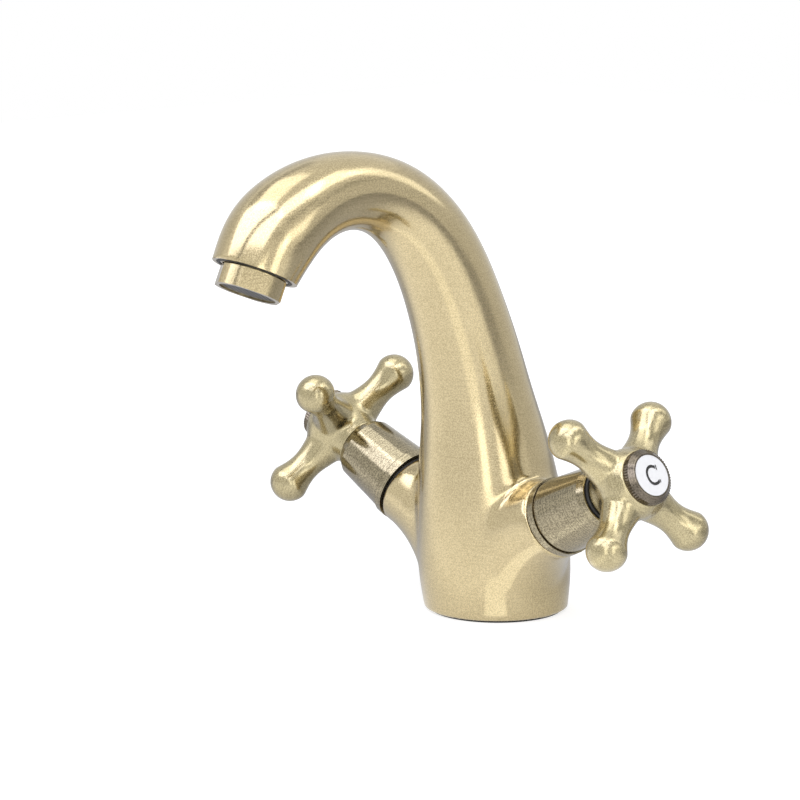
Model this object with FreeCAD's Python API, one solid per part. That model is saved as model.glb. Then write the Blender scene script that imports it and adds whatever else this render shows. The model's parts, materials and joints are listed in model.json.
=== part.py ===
"""Cross handle basin mixer: one cast body, two quarter-turn ceramic valves, an aerator.

Millimetres, +Z up. The origin is at the centre of the underside of the base seal. The spout
points to -Y, the cold valve is on +X and the hot valve is its mirror image on -X.

Valve pieces are drawn in the valve's own frame, whose +Z is the valve axis and points out of the
body, and whose +X is the upright direction of the index letter. A height in that frame is counted
from the point where the two valve axes meet. Aerator pieces are drawn in the mouth's frame, whose
+Z points out of the spout.
"""
import FreeCAD
import Part
import math
import os

from FreeCAD import Vector

# ---------------------------------------------------------------- fits and walls
RUNNING_FIT = 0.05            # radial clearance of a turning piece in its bore
THREAD_FIT = 0.05             # radial clearance of one thread in another
SEATING_GAP = 0.1             # end clearance where a clip or a socket stops short of a face
CUT_OVERRUN = 1.0             # how far a cutting form runs past the face that it opens
CASTING_WALL = 3.2            # wall of the neck round the waterway

# ---------------------------------------------------------------- neck bends, foot to mouth
COLUMN_BEND_RADIUS = 352.0
COLUMN_BEND_ANGLE = 15.2
SHOULDER_BEND_RADIUS = 156.0
SHOULDER_BEND_ANGLE = 17.5
CROWN_BEND_RADIUS = 49.3
CROWN_BEND_ANGLE = 88.0
LIP_BEND_RADIUS = 38.5
LIP_BEND_ANGLE = 34.8
FOOT_SET_BACK = 1.5           # the foot's centre lies this far behind the column's own line
SET_BACK_SHARE = 0.45         # share of the column over which the set-back fades out

# ---------------------------------------------------------------- neck section radii
FOOT_RADIUS = 26.0
HIP_RADIUS = 27.5
BELLY_RADIUS = 27.3
CHEST_RADIUS = 26.1
WAIST_RADIUS = 23.4
COLLAR_RADIUS = 20.5
COLUMN_TOP_RADIUS = 18.7
SHOULDER_MIDDLE_RADIUS = 17.0
SHOULDER_TOP_RADIUS = 15.8
CROWN_REAR_RADIUS = 14.2
CROWN_TOP_RADIUS = 13.5
CROWN_FRONT_RADIUS = 14.1
LIP_START_RADIUS = 15.5
BULB_RADIUS = 16.0
MOUTH_RADIUS = 14.9
MOUTH_ROUNDING = 1.2

# ---------------------------------------------------------------- base
SEAL_PROUD = 0.8              # the rubber ring stands this far below the casting
SEAL_THICKNESS = 2.0
SEAL_RADIUS = 24.0
SEAL_BORE_RADIUS = 20.6
RECESS_RADIUS = 19.0
RECESS_DEPTH = 9.0
STUD_HOLE_RADIUS = 3.4        # tapped M8
STUD_HOLE_DEPTH = 16.0
STUD_HOLE_SET_BACK = 13.0
INLET_HOLE_RADIUS = 4.5       # tapped M10 x 1
INLET_HOLE_DEPTH = 10.0
INLET_SPACING = 20.0
INLET_PASSAGE_RADIUS = 3.5

# ---------------------------------------------------------------- valve axes
VALVE_AXIS_HEIGHT = 21.6
VALVE_AXIS_FORWARD = 5.8
VALVE_TILT = 26.0
VALVE_SPLAY = 2.1
COLD_HANDLE_TURN = 1.1        # each handle sits this far off square on its splines
HOT_HANDLE_TURN = 3.8

# ---------------------------------------------------------------- side bosses
BOSS_HEIGHT = 41.4
BOSS_RADIUS = 14.1
SKIRT_RADIUS = 19.8           # halfway down the sweep from the boss's face to the foot
SKIRT_FOOT_RADIUS = 25.4      # the sweep ends just inside the foot
SKIRT_FOOT_HEIGHT = 2.0

# ---------------------------------------------------------------- valve chamber
VALVE_THREAD_RADIUS = 10.48   # G 1/2
VALVE_THREAD_LENGTH = 10.4
CHAMBER_RADIUS = 9.9
SEAT_HEIGHT = 18.0
SEAT_PORT_RADIUS = 5.0
SEAT_PORT_LENGTH = 10.0
OUTLET_PORT_RADIUS = 3.5
WATERWAY_START = 0.6          # share of the column's bend at which the neck's hollow begins
WATERWAY_END = 0.3            # share of the lip's bend at which it narrows to the aerator
OUTLET_PORT_REACH = 33.0
OUTLET_PORT_TILT = 72.0       # the drilling from the valve up to the neck's hollow, above level

# ---------------------------------------------------------------- valve seals and ceramic discs
SEAT_SEAL_THICKNESS = 2.6
SEAT_SEAL_BORE_RADIUS = 5.2
DISC_RADIUS = 8.0
DISC_PORT_RADIUS = 6.2
DISC_PORT_INNER_RADIUS = 1.8
DISC_PORT_ANGLE = 84.0
FIXED_DISC_THICKNESS = 2.8
MOVING_DISC_THICKNESS = 3.0
TONGUE_WIDTH = 3.0
TONGUE_LENGTH = 12.0
TONGUE_DEPTH = 1.5
THRUST_WASHER_THICKNESS = 0.8

# ---------------------------------------------------------------- valve body
VALVE_BARREL_RADIUS = 9.3
VALVE_BARREL_LIFT = 1.0       # the barrel's end stands this far off the seat
WINDOW_WIDTH = 7.0
WINDOW_LENGTH = 5.0
FACE_SEAL_THICKNESS = 1.0
FACE_SEAL_RADIUS = 12.8
FLANGE_RADIUS = 12.6
FLANGE_THICKNESS = 2.2
HEXAGON_ACROSS_FLATS = 19.0
HEXAGON_HEIGHT = 6.0
SHROUD_THREAD_RADIUS = 8.9
SHROUD_THREAD_LENGTH = 6.4
VALVE_NECK_RADIUS = 7.6
VALVE_NECK_LENGTH = 3.0

# ---------------------------------------------------------------- spindle
STEM_RADIUS = 4.9
DRIVE_PLATE_RADIUS = 7.6
DRIVE_PLATE_THICKNESS = 2.6
O_RING_SECTION = 2.0
O_RING_SQUEEZE = 0.95         # groove depth that takes most of the ring's section
O_RING_RISE = 6.2             # O-ring above the valve body's inner step
CIRCLIP_THICKNESS = 1.0
CIRCLIP_RADIUS = 6.8
CIRCLIP_GROOVE_RADIUS = 4.2
CIRCLIP_MOUTH = 5.0
SPLINE_TEETH = 20
SPLINE_TIP_RADIUS = 4.0
SPLINE_ROOT_RADIUS = 3.6
SPLINE_ENGAGEMENT = 8.4       # how far the splines reach into the hub
SCREW_THREAD_RADIUS = 2.0
SCREW_HOLE_DEPTH = 14.0
SCREW_TIP_GAP = 4.0

# ---------------------------------------------------------------- shroud
SHROUD_GAP = 1.2              # shadow gap between the boss and the shroud
SHROUD_LENGTH = 27.0
SHROUD_RIM_RADIUS = 14.2
SHROUD_RIM_LENGTH = 2.9
SHROUD_GROOVE_WIDTH = 0.5
SHROUD_GROOVE_RADIUS = 13.3
SHROUD_LOWER_RADIUS = 13.6
SHROUD_UPPER_RADIUS = 12.0
SHROUD_CHAMFER_LENGTH = 2.4
SHROUD_TOP_RADIUS = 10.8
SHROUD_WALL = 1.3
SHROUD_WEB_THICKNESS = 3.5

# ---------------------------------------------------------------- handle
HANDLE_GAP = 1.0              # shadow gap between the shroud and the hub's skirt
ARM_PLANE_RISE = 11.0         # the arms' plane above the skirt's edge
ARM_COUNT = 4
BALL_CENTRE_RADIUS = 28.1
BALL_RADIUS = 7.4
ARM_NECK_POSITION = 20.2
ARM_NECK_RADIUS = 5.6
ARM_FLARE_POSITION = 12.7
ARM_FLARE_RADIUS = 6.8
ARM_ROOT_POSITION = 5.2
ARM_ROOT_RADIUS = 8.4
HUB_SKIRT_RADIUS = 9.3
HUB_SKIRT_HOLLOW_RADIUS = 7.6
HUB_SKIRT_HOLLOW_DEPTH = 2.4
HUB_WAIST_RADIUS = 10.4
HUB_WAIST_RISE = 4.4          # the waist above the skirt's edge
HUB_RADIUS = 12.7
HUB_BELLY_LENGTH = 4.0
HUB_FRONT_RADIUS = 10.2
HUB_LENGTH = 19.7
SOCKET_WEB_THICKNESS = 3.2
SCREW_HEAD_RADIUS = 3.6
SCREW_HEAD_HEIGHT = 2.6
SCREW_SOCKET_ACROSS_FLATS = 3.0
SCREW_SOCKET_DEPTH = 1.6
SCREW_POCKET_RADIUS = 5.0

# ---------------------------------------------------------------- index ring and disc
INDEX_THREAD_RADIUS = 7.9
INDEX_THREAD_LENGTH = 4.4
INDEX_RING_RADIUS = 9.9
INDEX_KNURL_DEPTH = 0.35
INDEX_KNURL_COUNT = 60
INDEX_KNURL_LENGTH = 2.1
INDEX_RING_HEIGHT = 3.7
INDEX_RING_WALL = 0.5
INDEX_DISC_RADIUS = 7.3
INDEX_DISC_THICKNESS = 1.5
INDEX_BORE_RADIUS = 6.2

# ---------------------------------------------------------------- aerator
AERATOR_SOCKET_DEPTH = 10.0
AERATOR_THREAD_RADIUS = 11.95  # M24 x 1
AERATOR_THREAD_LENGTH = 8.5
AERATOR_RING_RADIUS = 12.0
AERATOR_RELIEF_RADIUS = 11.2
AERATOR_RELIEF_LENGTH = 0.7
AERATOR_REACH = 7.5
AERATOR_ACROSS_FLATS = 22.0
AERATOR_FLAT_COUNT = 4
AERATOR_FLAT_TURN = 35.0      # the first flat's direction, from +X towards the spout's front
AERATOR_BORE_RADIUS = 10.4
AERATOR_LIP_RADIUS = 9.9
AERATOR_LIP_THICKNESS = 0.7
AERATOR_WASHER_BORE_RADIUS = 9.2
OUTLET_RADIUS = 9.0
SCREEN_THICKNESS = 0.6
SCREEN_HOLE_RADIUS = 0.6
SCREEN_HOLE_PITCH = 1.9
INSERT_HOLE_RADIUS = 1.1
INSERT_HOLE_PITCH = 3.2
INSERT_LENGTH = 11.0
INSERT_RIM = 0.8              # plain rim outside the holes
INSERT_PLAY = 0.1

# ---------------------------------------------------------------- worked out from the above
SEAL_TOP = SEAL_THICKNESS
CASTING_BOTTOM = SEAL_PROUD
RECESS_ROOF = CASTING_BOTTOM + RECESS_DEPTH
THREAD_START = BOSS_HEIGHT - VALVE_THREAD_LENGTH
FIXED_DISC_BOTTOM = SEAT_HEIGHT + SEAT_SEAL_THICKNESS
MOVING_DISC_BOTTOM = FIXED_DISC_BOTTOM + FIXED_DISC_THICKNESS
DRIVE_PLATE_BOTTOM = MOVING_DISC_BOTTOM + MOVING_DISC_THICKNESS
THRUST_WASHER_BOTTOM = DRIVE_PLATE_BOTTOM + DRIVE_PLATE_THICKNESS
VALVE_STEP_HEIGHT = THRUST_WASHER_BOTTOM + THRUST_WASHER_THICKNESS
O_RING_HEIGHT = VALVE_STEP_HEIGHT + O_RING_RISE
FLANGE_BOTTOM = BOSS_HEIGHT + FACE_SEAL_THICKNESS
HEXAGON_BOTTOM = FLANGE_BOTTOM + FLANGE_THICKNESS
SHROUD_THREAD_BOTTOM = HEXAGON_BOTTOM + HEXAGON_HEIGHT
VALVE_NECK_BOTTOM = SHROUD_THREAD_BOTTOM + SHROUD_THREAD_LENGTH
VALVE_TOP = VALVE_NECK_BOTTOM + VALVE_NECK_LENGTH
CIRCLIP_BOTTOM = VALVE_TOP + SEATING_GAP
STEM_TOP = CIRCLIP_BOTTOM + 2.0 * CIRCLIP_THICKNESS
SHROUD_BOTTOM = BOSS_HEIGHT + SHROUD_GAP
SHROUD_TOP = SHROUD_BOTTOM + SHROUD_LENGTH
HUB_BOTTOM = SHROUD_TOP + HANDLE_GAP
HUB_WAIST_HEIGHT = HUB_BOTTOM + HUB_WAIST_RISE
ARM_PLANE = HUB_BOTTOM + ARM_PLANE_RISE
HUB_FRONT = HUB_BOTTOM + HUB_LENGTH
SPLINE_TOP = HUB_BOTTOM + SPLINE_ENGAGEMENT
SOCKET_TOP = SPLINE_TOP + SEATING_GAP
SCREW_SEAT = SOCKET_TOP + SOCKET_WEB_THICKNESS
INDEX_SEAT = HUB_FRONT - INDEX_THREAD_LENGTH
INDEX_TOP = HUB_FRONT + INDEX_RING_HEIGHT
INDEX_DISC_BOTTOM = INDEX_TOP - INDEX_DISC_THICKNESS - SEATING_GAP
SCREEN_TOP = AERATOR_REACH - AERATOR_LIP_THICKNESS
SCREEN_BOTTOM = SCREEN_TOP - SCREEN_THICKNESS

X_AXIS = Vector(1, 0, 0)
Y_AXIS = Vector(0, 1, 0)
Z_AXIS = Vector(0, 0, 1)
ORIGIN = Vector(0, 0, 0)


# ---------------------------------------------------------------- small helpers
def cylinder(radius, bottom, top, x=0.0, y=0.0):
    """A round bar on a line parallel to +Z."""
    return Part.makeCylinder(radius, top - bottom, Vector(x, y, bottom))


def tube(outer, inner, bottom, top):
    """A plain ring on the Z axis."""
    return cylinder(outer, bottom, top).cut(cylinder(inner, bottom, top))


def turned(outline):
    """A solid of revolution about Z from (radius, height) corners."""
    points = [Vector(radius, 0, height) for radius, height in outline]
    profile = Part.makePolygon(points + points[:1])
    return Part.Face(profile).revolve(ORIGIN, Z_AXIS, 360)


def prism(corners, bottom, top):
    """A straight prism along Z from (x, y) corners."""
    points = [Vector(x, y, bottom) for x, y in corners]
    outline = Part.makePolygon(points + points[:1])
    return Part.Face(outline).extrude(Vector(0, 0, top - bottom))


def hexagon(across_flats, bottom, top):
    """A hexagonal bar on the Z axis."""
    corner_radius = across_flats / math.sqrt(3.0)
    corners = [polar(corner_radius, 60.0 * side) for side in range(6)]
    return prism(corners, bottom, top)


def polar(radius, degrees):
    """The (x, y) point at a radius and an angle."""
    angle = math.radians(degrees)
    return radius * math.cos(angle), radius * math.sin(angle)


def toothed_bar(root_radius, tip_radius, teeth, bottom, top):
    """A bar with triangular teeth, for splines and knurling."""
    corners = []
    for tooth in range(teeth):
        corners.append(polar(tip_radius, 360.0 * tooth / teeth))
        corners.append(polar(root_radius, 360.0 * (tooth + 0.5) / teeth))
    return prism(corners, bottom, top)


def frame_at(origin, x_axis, z_axis):
    """Placement with the given origin and +Z, and with +X as near to the given one as it can be."""
    y_axis = z_axis.cross(x_axis).normalize()
    x_axis = y_axis.cross(z_axis).normalize()
    matrix = FreeCAD.Matrix(
        x_axis.x, y_axis.x, z_axis.x, origin.x,
        x_axis.y, y_axis.y, z_axis.y, origin.y,
        x_axis.z, y_axis.z, z_axis.z, origin.z,
        0, 0, 0, 1)
    return FreeCAD.Placement(matrix)


def circle_wire(centre, normal, radius, start):
    """A closed circle that begins on its start side, so that lofts through several don't twist."""
    wire = Part.Wire(Part.makeCircle(radius))
    wire.Placement = frame_at(centre, start, normal)
    return wire


# ---------------------------------------------------------------- the neck's line
NECK_BENDS = [
    (COLUMN_BEND_RADIUS, COLUMN_BEND_ANGLE),
    (SHOULDER_BEND_RADIUS, SHOULDER_BEND_ANGLE),
    (CROWN_BEND_RADIUS, CROWN_BEND_ANGLE),
    (LIP_BEND_RADIUS, LIP_BEND_ANGLE),
]
COLUMN, SHOULDER, CROWN, LIP = range(4)


def neck_point(bend, share):
    """Centre and heading at a share of one bend; the bends follow each other tangentially."""
    forward = 0.0
    height = 0.0
    heading = 0.0
    for index, (radius, angle) in enumerate(NECK_BENDS[:bend + 1]):
        turn = math.radians(angle)
        if index == bend:
            turn = turn * share
        forward += radius * (math.cos(heading) - math.cos(heading + turn))
        height += radius * (math.sin(heading + turn) - math.sin(heading))
        heading += turn
    direction = Vector(0, -math.sin(heading), math.cos(heading))
    return Vector(0, -forward, height), direction


# (bend, share of that bend, outside radius) of each section of the neck
NECK_SECTIONS = [
    (COLUMN, 0.15, HIP_RADIUS),
    (COLUMN, 0.3, BELLY_RADIUS),
    (COLUMN, 0.45, CHEST_RADIUS),
    (COLUMN, 0.65, WAIST_RADIUS),
    (COLUMN, 0.83, COLLAR_RADIUS),
    (COLUMN, 1.0, COLUMN_TOP_RADIUS),
    (SHOULDER, 0.5, SHOULDER_MIDDLE_RADIUS),
    (SHOULDER, 1.0, SHOULDER_TOP_RADIUS),
    (CROWN, 0.33, CROWN_REAR_RADIUS),
    (CROWN, 0.6, CROWN_TOP_RADIUS),
    (CROWN, 0.78, CROWN_FRONT_RADIUS),
    (CROWN, 1.0, LIP_START_RADIUS),
    (LIP, 0.4, BULB_RADIUS),
    (LIP, 1.0, MOUTH_RADIUS),
]


def neck_section(bend, share, radius):
    """One circular section of the neck."""
    centre, direction = neck_point(bend, share)
    if bend == COLUMN and share < SET_BACK_SHARE:
        centre.y += FOOT_SET_BACK * (1.0 - share / SET_BACK_SHARE)
    centre.y -= FOOT_SET_BACK
    return circle_wire(centre, direction, radius, X_AXIS)


def neck_solid():
    """The outside of the foot, the column and the spout as one smooth form."""
    sections = [circle_wire(Vector(0, 0, CASTING_BOTTOM), Z_AXIS, FOOT_RADIUS, X_AXIS)]
    for bend, share, radius in NECK_SECTIONS:
        sections.append(neck_section(bend, share, radius))
    form = Part.makeLoft(sections, True, False)
    mouth = MOUTH.multVec(ORIGIN)
    rim = min(form.Edges, key=lambda edge: (edge.BoundBox.Center - mouth).Length)
    return form.makeFillet(MOUTH_ROUNDING, [rim])


def mouth_frame():
    """Placement of the spout's mouth: origin at its centre, +Z out of the spout."""
    centre, direction = neck_point(LIP, 1.0)
    centre.y -= FOOT_SET_BACK
    return frame_at(centre, X_AXIS, direction)


def valve_frame():
    """Placement of the cold valve: +Z out along its axis, +X the letter's upright."""
    tilt = math.radians(VALVE_TILT)
    splay = math.radians(VALVE_SPLAY)
    outward = Vector(
        math.cos(tilt) * math.cos(splay),
        -math.sin(splay),
        math.sin(tilt) * math.cos(splay))
    upright = Vector(-math.sin(tilt), 0, math.cos(tilt))
    return frame_at(Vector(0, -VALVE_AXIS_FORWARD, VALVE_AXIS_HEIGHT), upright, outward)


MOUTH = mouth_frame()
VALVE = valve_frame()


def in_valve(height):
    """A point on the cold valve's axis."""
    return VALVE.multVec(Vector(0, 0, height))


def placed(shape, placement):
    """The shape moved from its own frame to the row's."""
    moved = shape.copy()
    moved.Placement = placement.multiply(moved.Placement)
    return moved


def mirrored(shape):
    """The hot side's copy of a cold side's shape."""
    return shape.mirror(ORIGIN, X_AXIS)


# ---------------------------------------------------------------- the casting
def boss_solid():
    """The cold boss, which sweeps down from its face and spreads into the foot.

    Its sections lie in planes that fan out from one line, where the plane of the boss's face
    meets the plane of the foot, so they never cross.
    """
    face = in_valve(BOSS_HEIGHT)
    tilt = math.radians(VALVE_TILT)
    splay = math.radians(VALVE_SPLAY)
    face_height = face.z - SKIRT_FOOT_HEIGHT
    face_reach = face_height / math.cos(tilt)
    foot_reach = face.x + face_height * math.tan(tilt)
    sections = []
    for share, radius in ((0.0, BOSS_RADIUS), (0.5, SKIRT_RADIUS), (1.0, SKIRT_FOOT_RADIUS)):
        angle = tilt + (math.pi / 2.0 - tilt) * share
        reach = face_reach + (foot_reach - face_reach) * share
        centre = Vector(
            foot_reach - reach * math.sin(angle),
            face.y * (1.0 - share),
            SKIRT_FOOT_HEIGHT + reach * math.cos(angle))
        heading = Vector(math.cos(angle), -math.tan(splay) * (1.0 - share), math.sin(angle))
        sections.append(circle_wire(centre, heading, radius, Y_AXIS))
    return Part.makeLoft(sections, True, False)


def waterway():
    """The hollow of the neck, from the mixing chamber to the aerator's socket."""
    sections = []
    for bend, share, radius in NECK_SECTIONS:
        if (COLUMN, WATERWAY_START) <= (bend, share) < (LIP, WATERWAY_END):
            sections.append(neck_section(bend, share, radius - CASTING_WALL))
    socket_floor = MOUTH.multVec(Vector(0, 0, -AERATOR_SOCKET_DEPTH))
    direction = MOUTH.multVec(Z_AXIS) - MOUTH.multVec(ORIGIN)
    sections.append(circle_wire(socket_floor, direction, OUTLET_RADIUS, X_AXIS))
    return Part.makeLoft(sections, True, False)


def aerator_socket():
    """The threaded socket in the mouth."""
    return placed(cylinder(AERATOR_THREAD_RADIUS, -AERATOR_SOCKET_DEPTH, CUT_OVERRUN), MOUTH)


def valve_chamber():
    """The cold side's threaded bore, chamber and seat port, in the row's frame."""
    chamber = cylinder(CHAMBER_RADIUS, SEAT_HEIGHT, BOSS_HEIGHT)
    thread = cylinder(VALVE_THREAD_RADIUS, THREAD_START, BOSS_HEIGHT + CUT_OVERRUN)
    port = cylinder(SEAT_PORT_RADIUS, SEAT_HEIGHT - SEAT_PORT_LENGTH, SEAT_HEIGHT + CUT_OVERRUN)
    return placed(chamber.fuse(thread).fuse(port), VALVE)


def inlet():
    """The cold side's tapped inlet and the passage up to the valve's axis in its seat port."""
    x = INLET_SPACING / 2.0
    y = -VALVE_AXIS_FORWARD
    axis_height = VALVE_AXIS_HEIGHT + x * math.tan(math.radians(VALVE_TILT))
    tapped = cylinder(INLET_HOLE_RADIUS, RECESS_ROOF - CUT_OVERRUN, RECESS_ROOF + INLET_HOLE_DEPTH, x, y)
    passage = cylinder(INLET_PASSAGE_RADIUS, RECESS_ROOF, axis_height, x, y)
    return tapped.fuse(passage)


def outlet_port():
    """The cold side's passage from the valve's windows up to the hollow of the neck."""
    start = in_valve(MOVING_DISC_BOTTOM + WINDOW_LENGTH / 2.0)
    tilt = math.radians(OUTLET_PORT_TILT)
    heading = Vector(-math.cos(tilt), 0, math.sin(tilt))
    return Part.makeCylinder(OUTLET_PORT_RADIUS, OUTLET_PORT_REACH, start, heading)


def base_hollows():
    """The recess under the foot, the seal's groove and the stud's hole."""
    recess = cylinder(RECESS_RADIUS, CASTING_BOTTOM - CUT_OVERRUN, RECESS_ROOF)
    groove = tube(SEAL_RADIUS + THREAD_FIT, SEAL_BORE_RADIUS - THREAD_FIT, 0.0, SEAL_TOP)
    stud = cylinder(STUD_HOLE_RADIUS, RECESS_ROOF - CUT_OVERRUN, RECESS_ROOF + STUD_HOLE_DEPTH,
                    0.0, STUD_HOLE_SET_BACK)
    return [recess, groove, stud]


def tap_body():
    """The cast body: foot, column and swan-neck spout with its two valve bosses."""
    boss = boss_solid()
    outside = neck_solid().fuse([boss, mirrored(boss)])
    hollows = [waterway(), aerator_socket()] + base_hollows()
    for cut in (valve_chamber(), inlet(), outlet_port()):
        hollows.append(cut)
        hollows.append(mirrored(cut))
    solid, = outside.cut(hollows).Solids
    return solid


def base_seal():
    """The rubber ring in the foot's groove, which the tap stands on."""
    return tube(SEAL_RADIUS, SEAL_BORE_RADIUS, 0.0, SEAL_TOP)


# ---------------------------------------------------------------- valve, from the seat outwards
def seat_seal():
    """The rubber ring between the seat and the fixed disc."""
    return tube(DISC_RADIUS, SEAT_SEAL_BORE_RADIUS, SEAT_HEIGHT, FIXED_DISC_BOTTOM)


def disc_ports(bottom, top, turn):
    """The two opposed sector ports of a ceramic disc."""
    ring = tube(DISC_PORT_RADIUS, DISC_PORT_INNER_RADIUS, bottom, top)
    half = math.radians(DISC_PORT_ANGLE / 2.0)
    far = 2.0 * DISC_PORT_RADIUS
    corners = [(0.0, 0.0), (far, -far * math.tan(half)), (far, far * math.tan(half))]
    wedge = prism(corners, bottom, top)
    ports = []
    for side in (0.0, 180.0):
        port = ring.common(wedge)
        port.rotate(ORIGIN, Z_AXIS, turn + side)
        ports.append(port)
    return ports


def fixed_disc():
    """The ceramic disc that stays still."""
    disc = cylinder(DISC_RADIUS, FIXED_DISC_BOTTOM, MOVING_DISC_BOTTOM)
    return disc.cut(disc_ports(FIXED_DISC_BOTTOM, MOVING_DISC_BOTTOM, 0.0))


def tongue(width, length, bottom, top):
    """The flat key between the spindle and the moving disc."""
    return Part.makeBox(width, length, top - bottom, Vector(-width / 2.0, -length / 2.0, bottom))


def moving_disc():
    """The ceramic disc that the spindle turns, shown closed: its ports miss the fixed disc's."""
    disc = cylinder(DISC_RADIUS, MOVING_DISC_BOTTOM, DRIVE_PLATE_BOTTOM)
    ports = disc_ports(MOVING_DISC_BOTTOM, DRIVE_PLATE_BOTTOM - TONGUE_DEPTH, 90.0)
    slot = tongue(TONGUE_WIDTH + 2.0 * RUNNING_FIT, TONGUE_LENGTH + 2.0 * RUNNING_FIT,
                  DRIVE_PLATE_BOTTOM - TONGUE_DEPTH, DRIVE_PLATE_BOTTOM)
    return disc.cut(ports + [slot])


def thrust_washer():
    """The slippery washer between the spindle's plate and the valve body's step."""
    return tube(DRIVE_PLATE_RADIUS, STEM_RADIUS + RUNNING_FIT, THRUST_WASHER_BOTTOM, VALVE_STEP_HEIGHT)


def o_ring_groove_radius():
    """The bottom of the spindle's O-ring groove."""
    return STEM_RADIUS - O_RING_SECTION * O_RING_SQUEEZE


def spindle():
    """The splined spindle with its drive plate and tongue, O-ring groove and circlip groove."""
    outline = [
        (0.0, DRIVE_PLATE_BOTTOM),
        (DRIVE_PLATE_RADIUS, DRIVE_PLATE_BOTTOM),
        (DRIVE_PLATE_RADIUS, THRUST_WASHER_BOTTOM),
        (STEM_RADIUS, THRUST_WASHER_BOTTOM),
        (STEM_RADIUS, O_RING_HEIGHT),
        (o_ring_groove_radius(), O_RING_HEIGHT),
        (o_ring_groove_radius(), O_RING_HEIGHT + O_RING_SECTION),
        (STEM_RADIUS, O_RING_HEIGHT + O_RING_SECTION),
        (STEM_RADIUS, CIRCLIP_BOTTOM),
        (CIRCLIP_GROOVE_RADIUS, CIRCLIP_BOTTOM),
        (CIRCLIP_GROOVE_RADIUS, CIRCLIP_BOTTOM + CIRCLIP_THICKNESS),
        (STEM_RADIUS, CIRCLIP_BOTTOM + CIRCLIP_THICKNESS),
        (STEM_RADIUS, STEM_TOP),
        (SPLINE_ROOT_RADIUS, STEM_TOP),
        (SPLINE_ROOT_RADIUS, SPLINE_TOP),
        (0.0, SPLINE_TOP),
    ]
    bar = turned(outline)
    key = tongue(TONGUE_WIDTH, TONGUE_LENGTH, DRIVE_PLATE_BOTTOM - TONGUE_DEPTH, DRIVE_PLATE_BOTTOM)
    splines = toothed_bar(SPLINE_ROOT_RADIUS, SPLINE_TIP_RADIUS, SPLINE_TEETH, STEM_TOP, SPLINE_TOP)
    hole = cylinder(SCREW_THREAD_RADIUS + THREAD_FIT, SPLINE_TOP - SCREW_HOLE_DEPTH, SPLINE_TOP)
    return bar.fuse([key, splines]).cut(hole)


def spindle_o_ring():
    """The O-ring in the spindle's groove, squeezed to a rounded rectangle."""
    inner = o_ring_groove_radius()
    middle = (inner + STEM_RADIUS) / 2.0
    ring = Part.makeTorus(middle, (STEM_RADIUS - inner) / 2.0)
    ring.translate(Vector(0, 0, O_RING_HEIGHT + O_RING_SECTION / 2.0))
    return ring


def circlip():
    """The open clip in the spindle's groove, which rests over the valve body's top."""
    clip = tube(CIRCLIP_RADIUS, CIRCLIP_GROOVE_RADIUS, CIRCLIP_BOTTOM, CIRCLIP_BOTTOM + CIRCLIP_THICKNESS)
    mouth = Part.makeBox(2.0 * CIRCLIP_RADIUS, CIRCLIP_MOUTH, CIRCLIP_THICKNESS,
                         Vector(0.0, -CIRCLIP_MOUTH / 2.0, CIRCLIP_BOTTOM))
    return clip.cut(mouth)


def valve_body():
    """The brass headwork: barrel round the discs, thread, flange, hexagon and shroud thread."""
    barrel_bottom = SEAT_HEIGHT + VALVE_BARREL_LIFT
    thread_radius = VALVE_THREAD_RADIUS - THREAD_FIT
    outline = [
        (DISC_RADIUS + RUNNING_FIT, barrel_bottom),
        (VALVE_BARREL_RADIUS, barrel_bottom),
        (VALVE_BARREL_RADIUS, THREAD_START + VALVE_BARREL_LIFT),
        (thread_radius, THREAD_START + VALVE_BARREL_LIFT),
        (thread_radius, FLANGE_BOTTOM),
        (FLANGE_RADIUS, FLANGE_BOTTOM),
        (FLANGE_RADIUS, HEXAGON_BOTTOM),
        (SHROUD_THREAD_RADIUS, HEXAGON_BOTTOM),
        (SHROUD_THREAD_RADIUS, VALVE_NECK_BOTTOM),
        (VALVE_NECK_RADIUS, VALVE_NECK_BOTTOM),
        (VALVE_NECK_RADIUS, VALVE_TOP),
        (STEM_RADIUS + RUNNING_FIT, VALVE_TOP),
        (STEM_RADIUS + RUNNING_FIT, VALVE_STEP_HEIGHT),
        (DISC_RADIUS + RUNNING_FIT, VALVE_STEP_HEIGHT),
    ]
    bar = turned(outline)
    nut = hexagon(HEXAGON_ACROSS_FLATS, HEXAGON_BOTTOM, SHROUD_THREAD_BOTTOM)
    nut = nut.cut(cylinder(STEM_RADIUS + RUNNING_FIT, HEXAGON_BOTTOM, SHROUD_THREAD_BOTTOM))
    half = VALVE_BARREL_RADIUS + CUT_OVERRUN
    windows = Part.makeBox(2.0 * half, WINDOW_WIDTH, WINDOW_LENGTH,
                           Vector(-half, -WINDOW_WIDTH / 2.0, MOVING_DISC_BOTTOM))
    return bar.fuse(nut).cut(windows)


def valve_seal():
    """The flat black ring between the valve body's flange and the boss's face."""
    return tube(FACE_SEAL_RADIUS, VALVE_THREAD_RADIUS + THREAD_FIT, BOSS_HEIGHT, FLANGE_BOTTOM)


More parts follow.
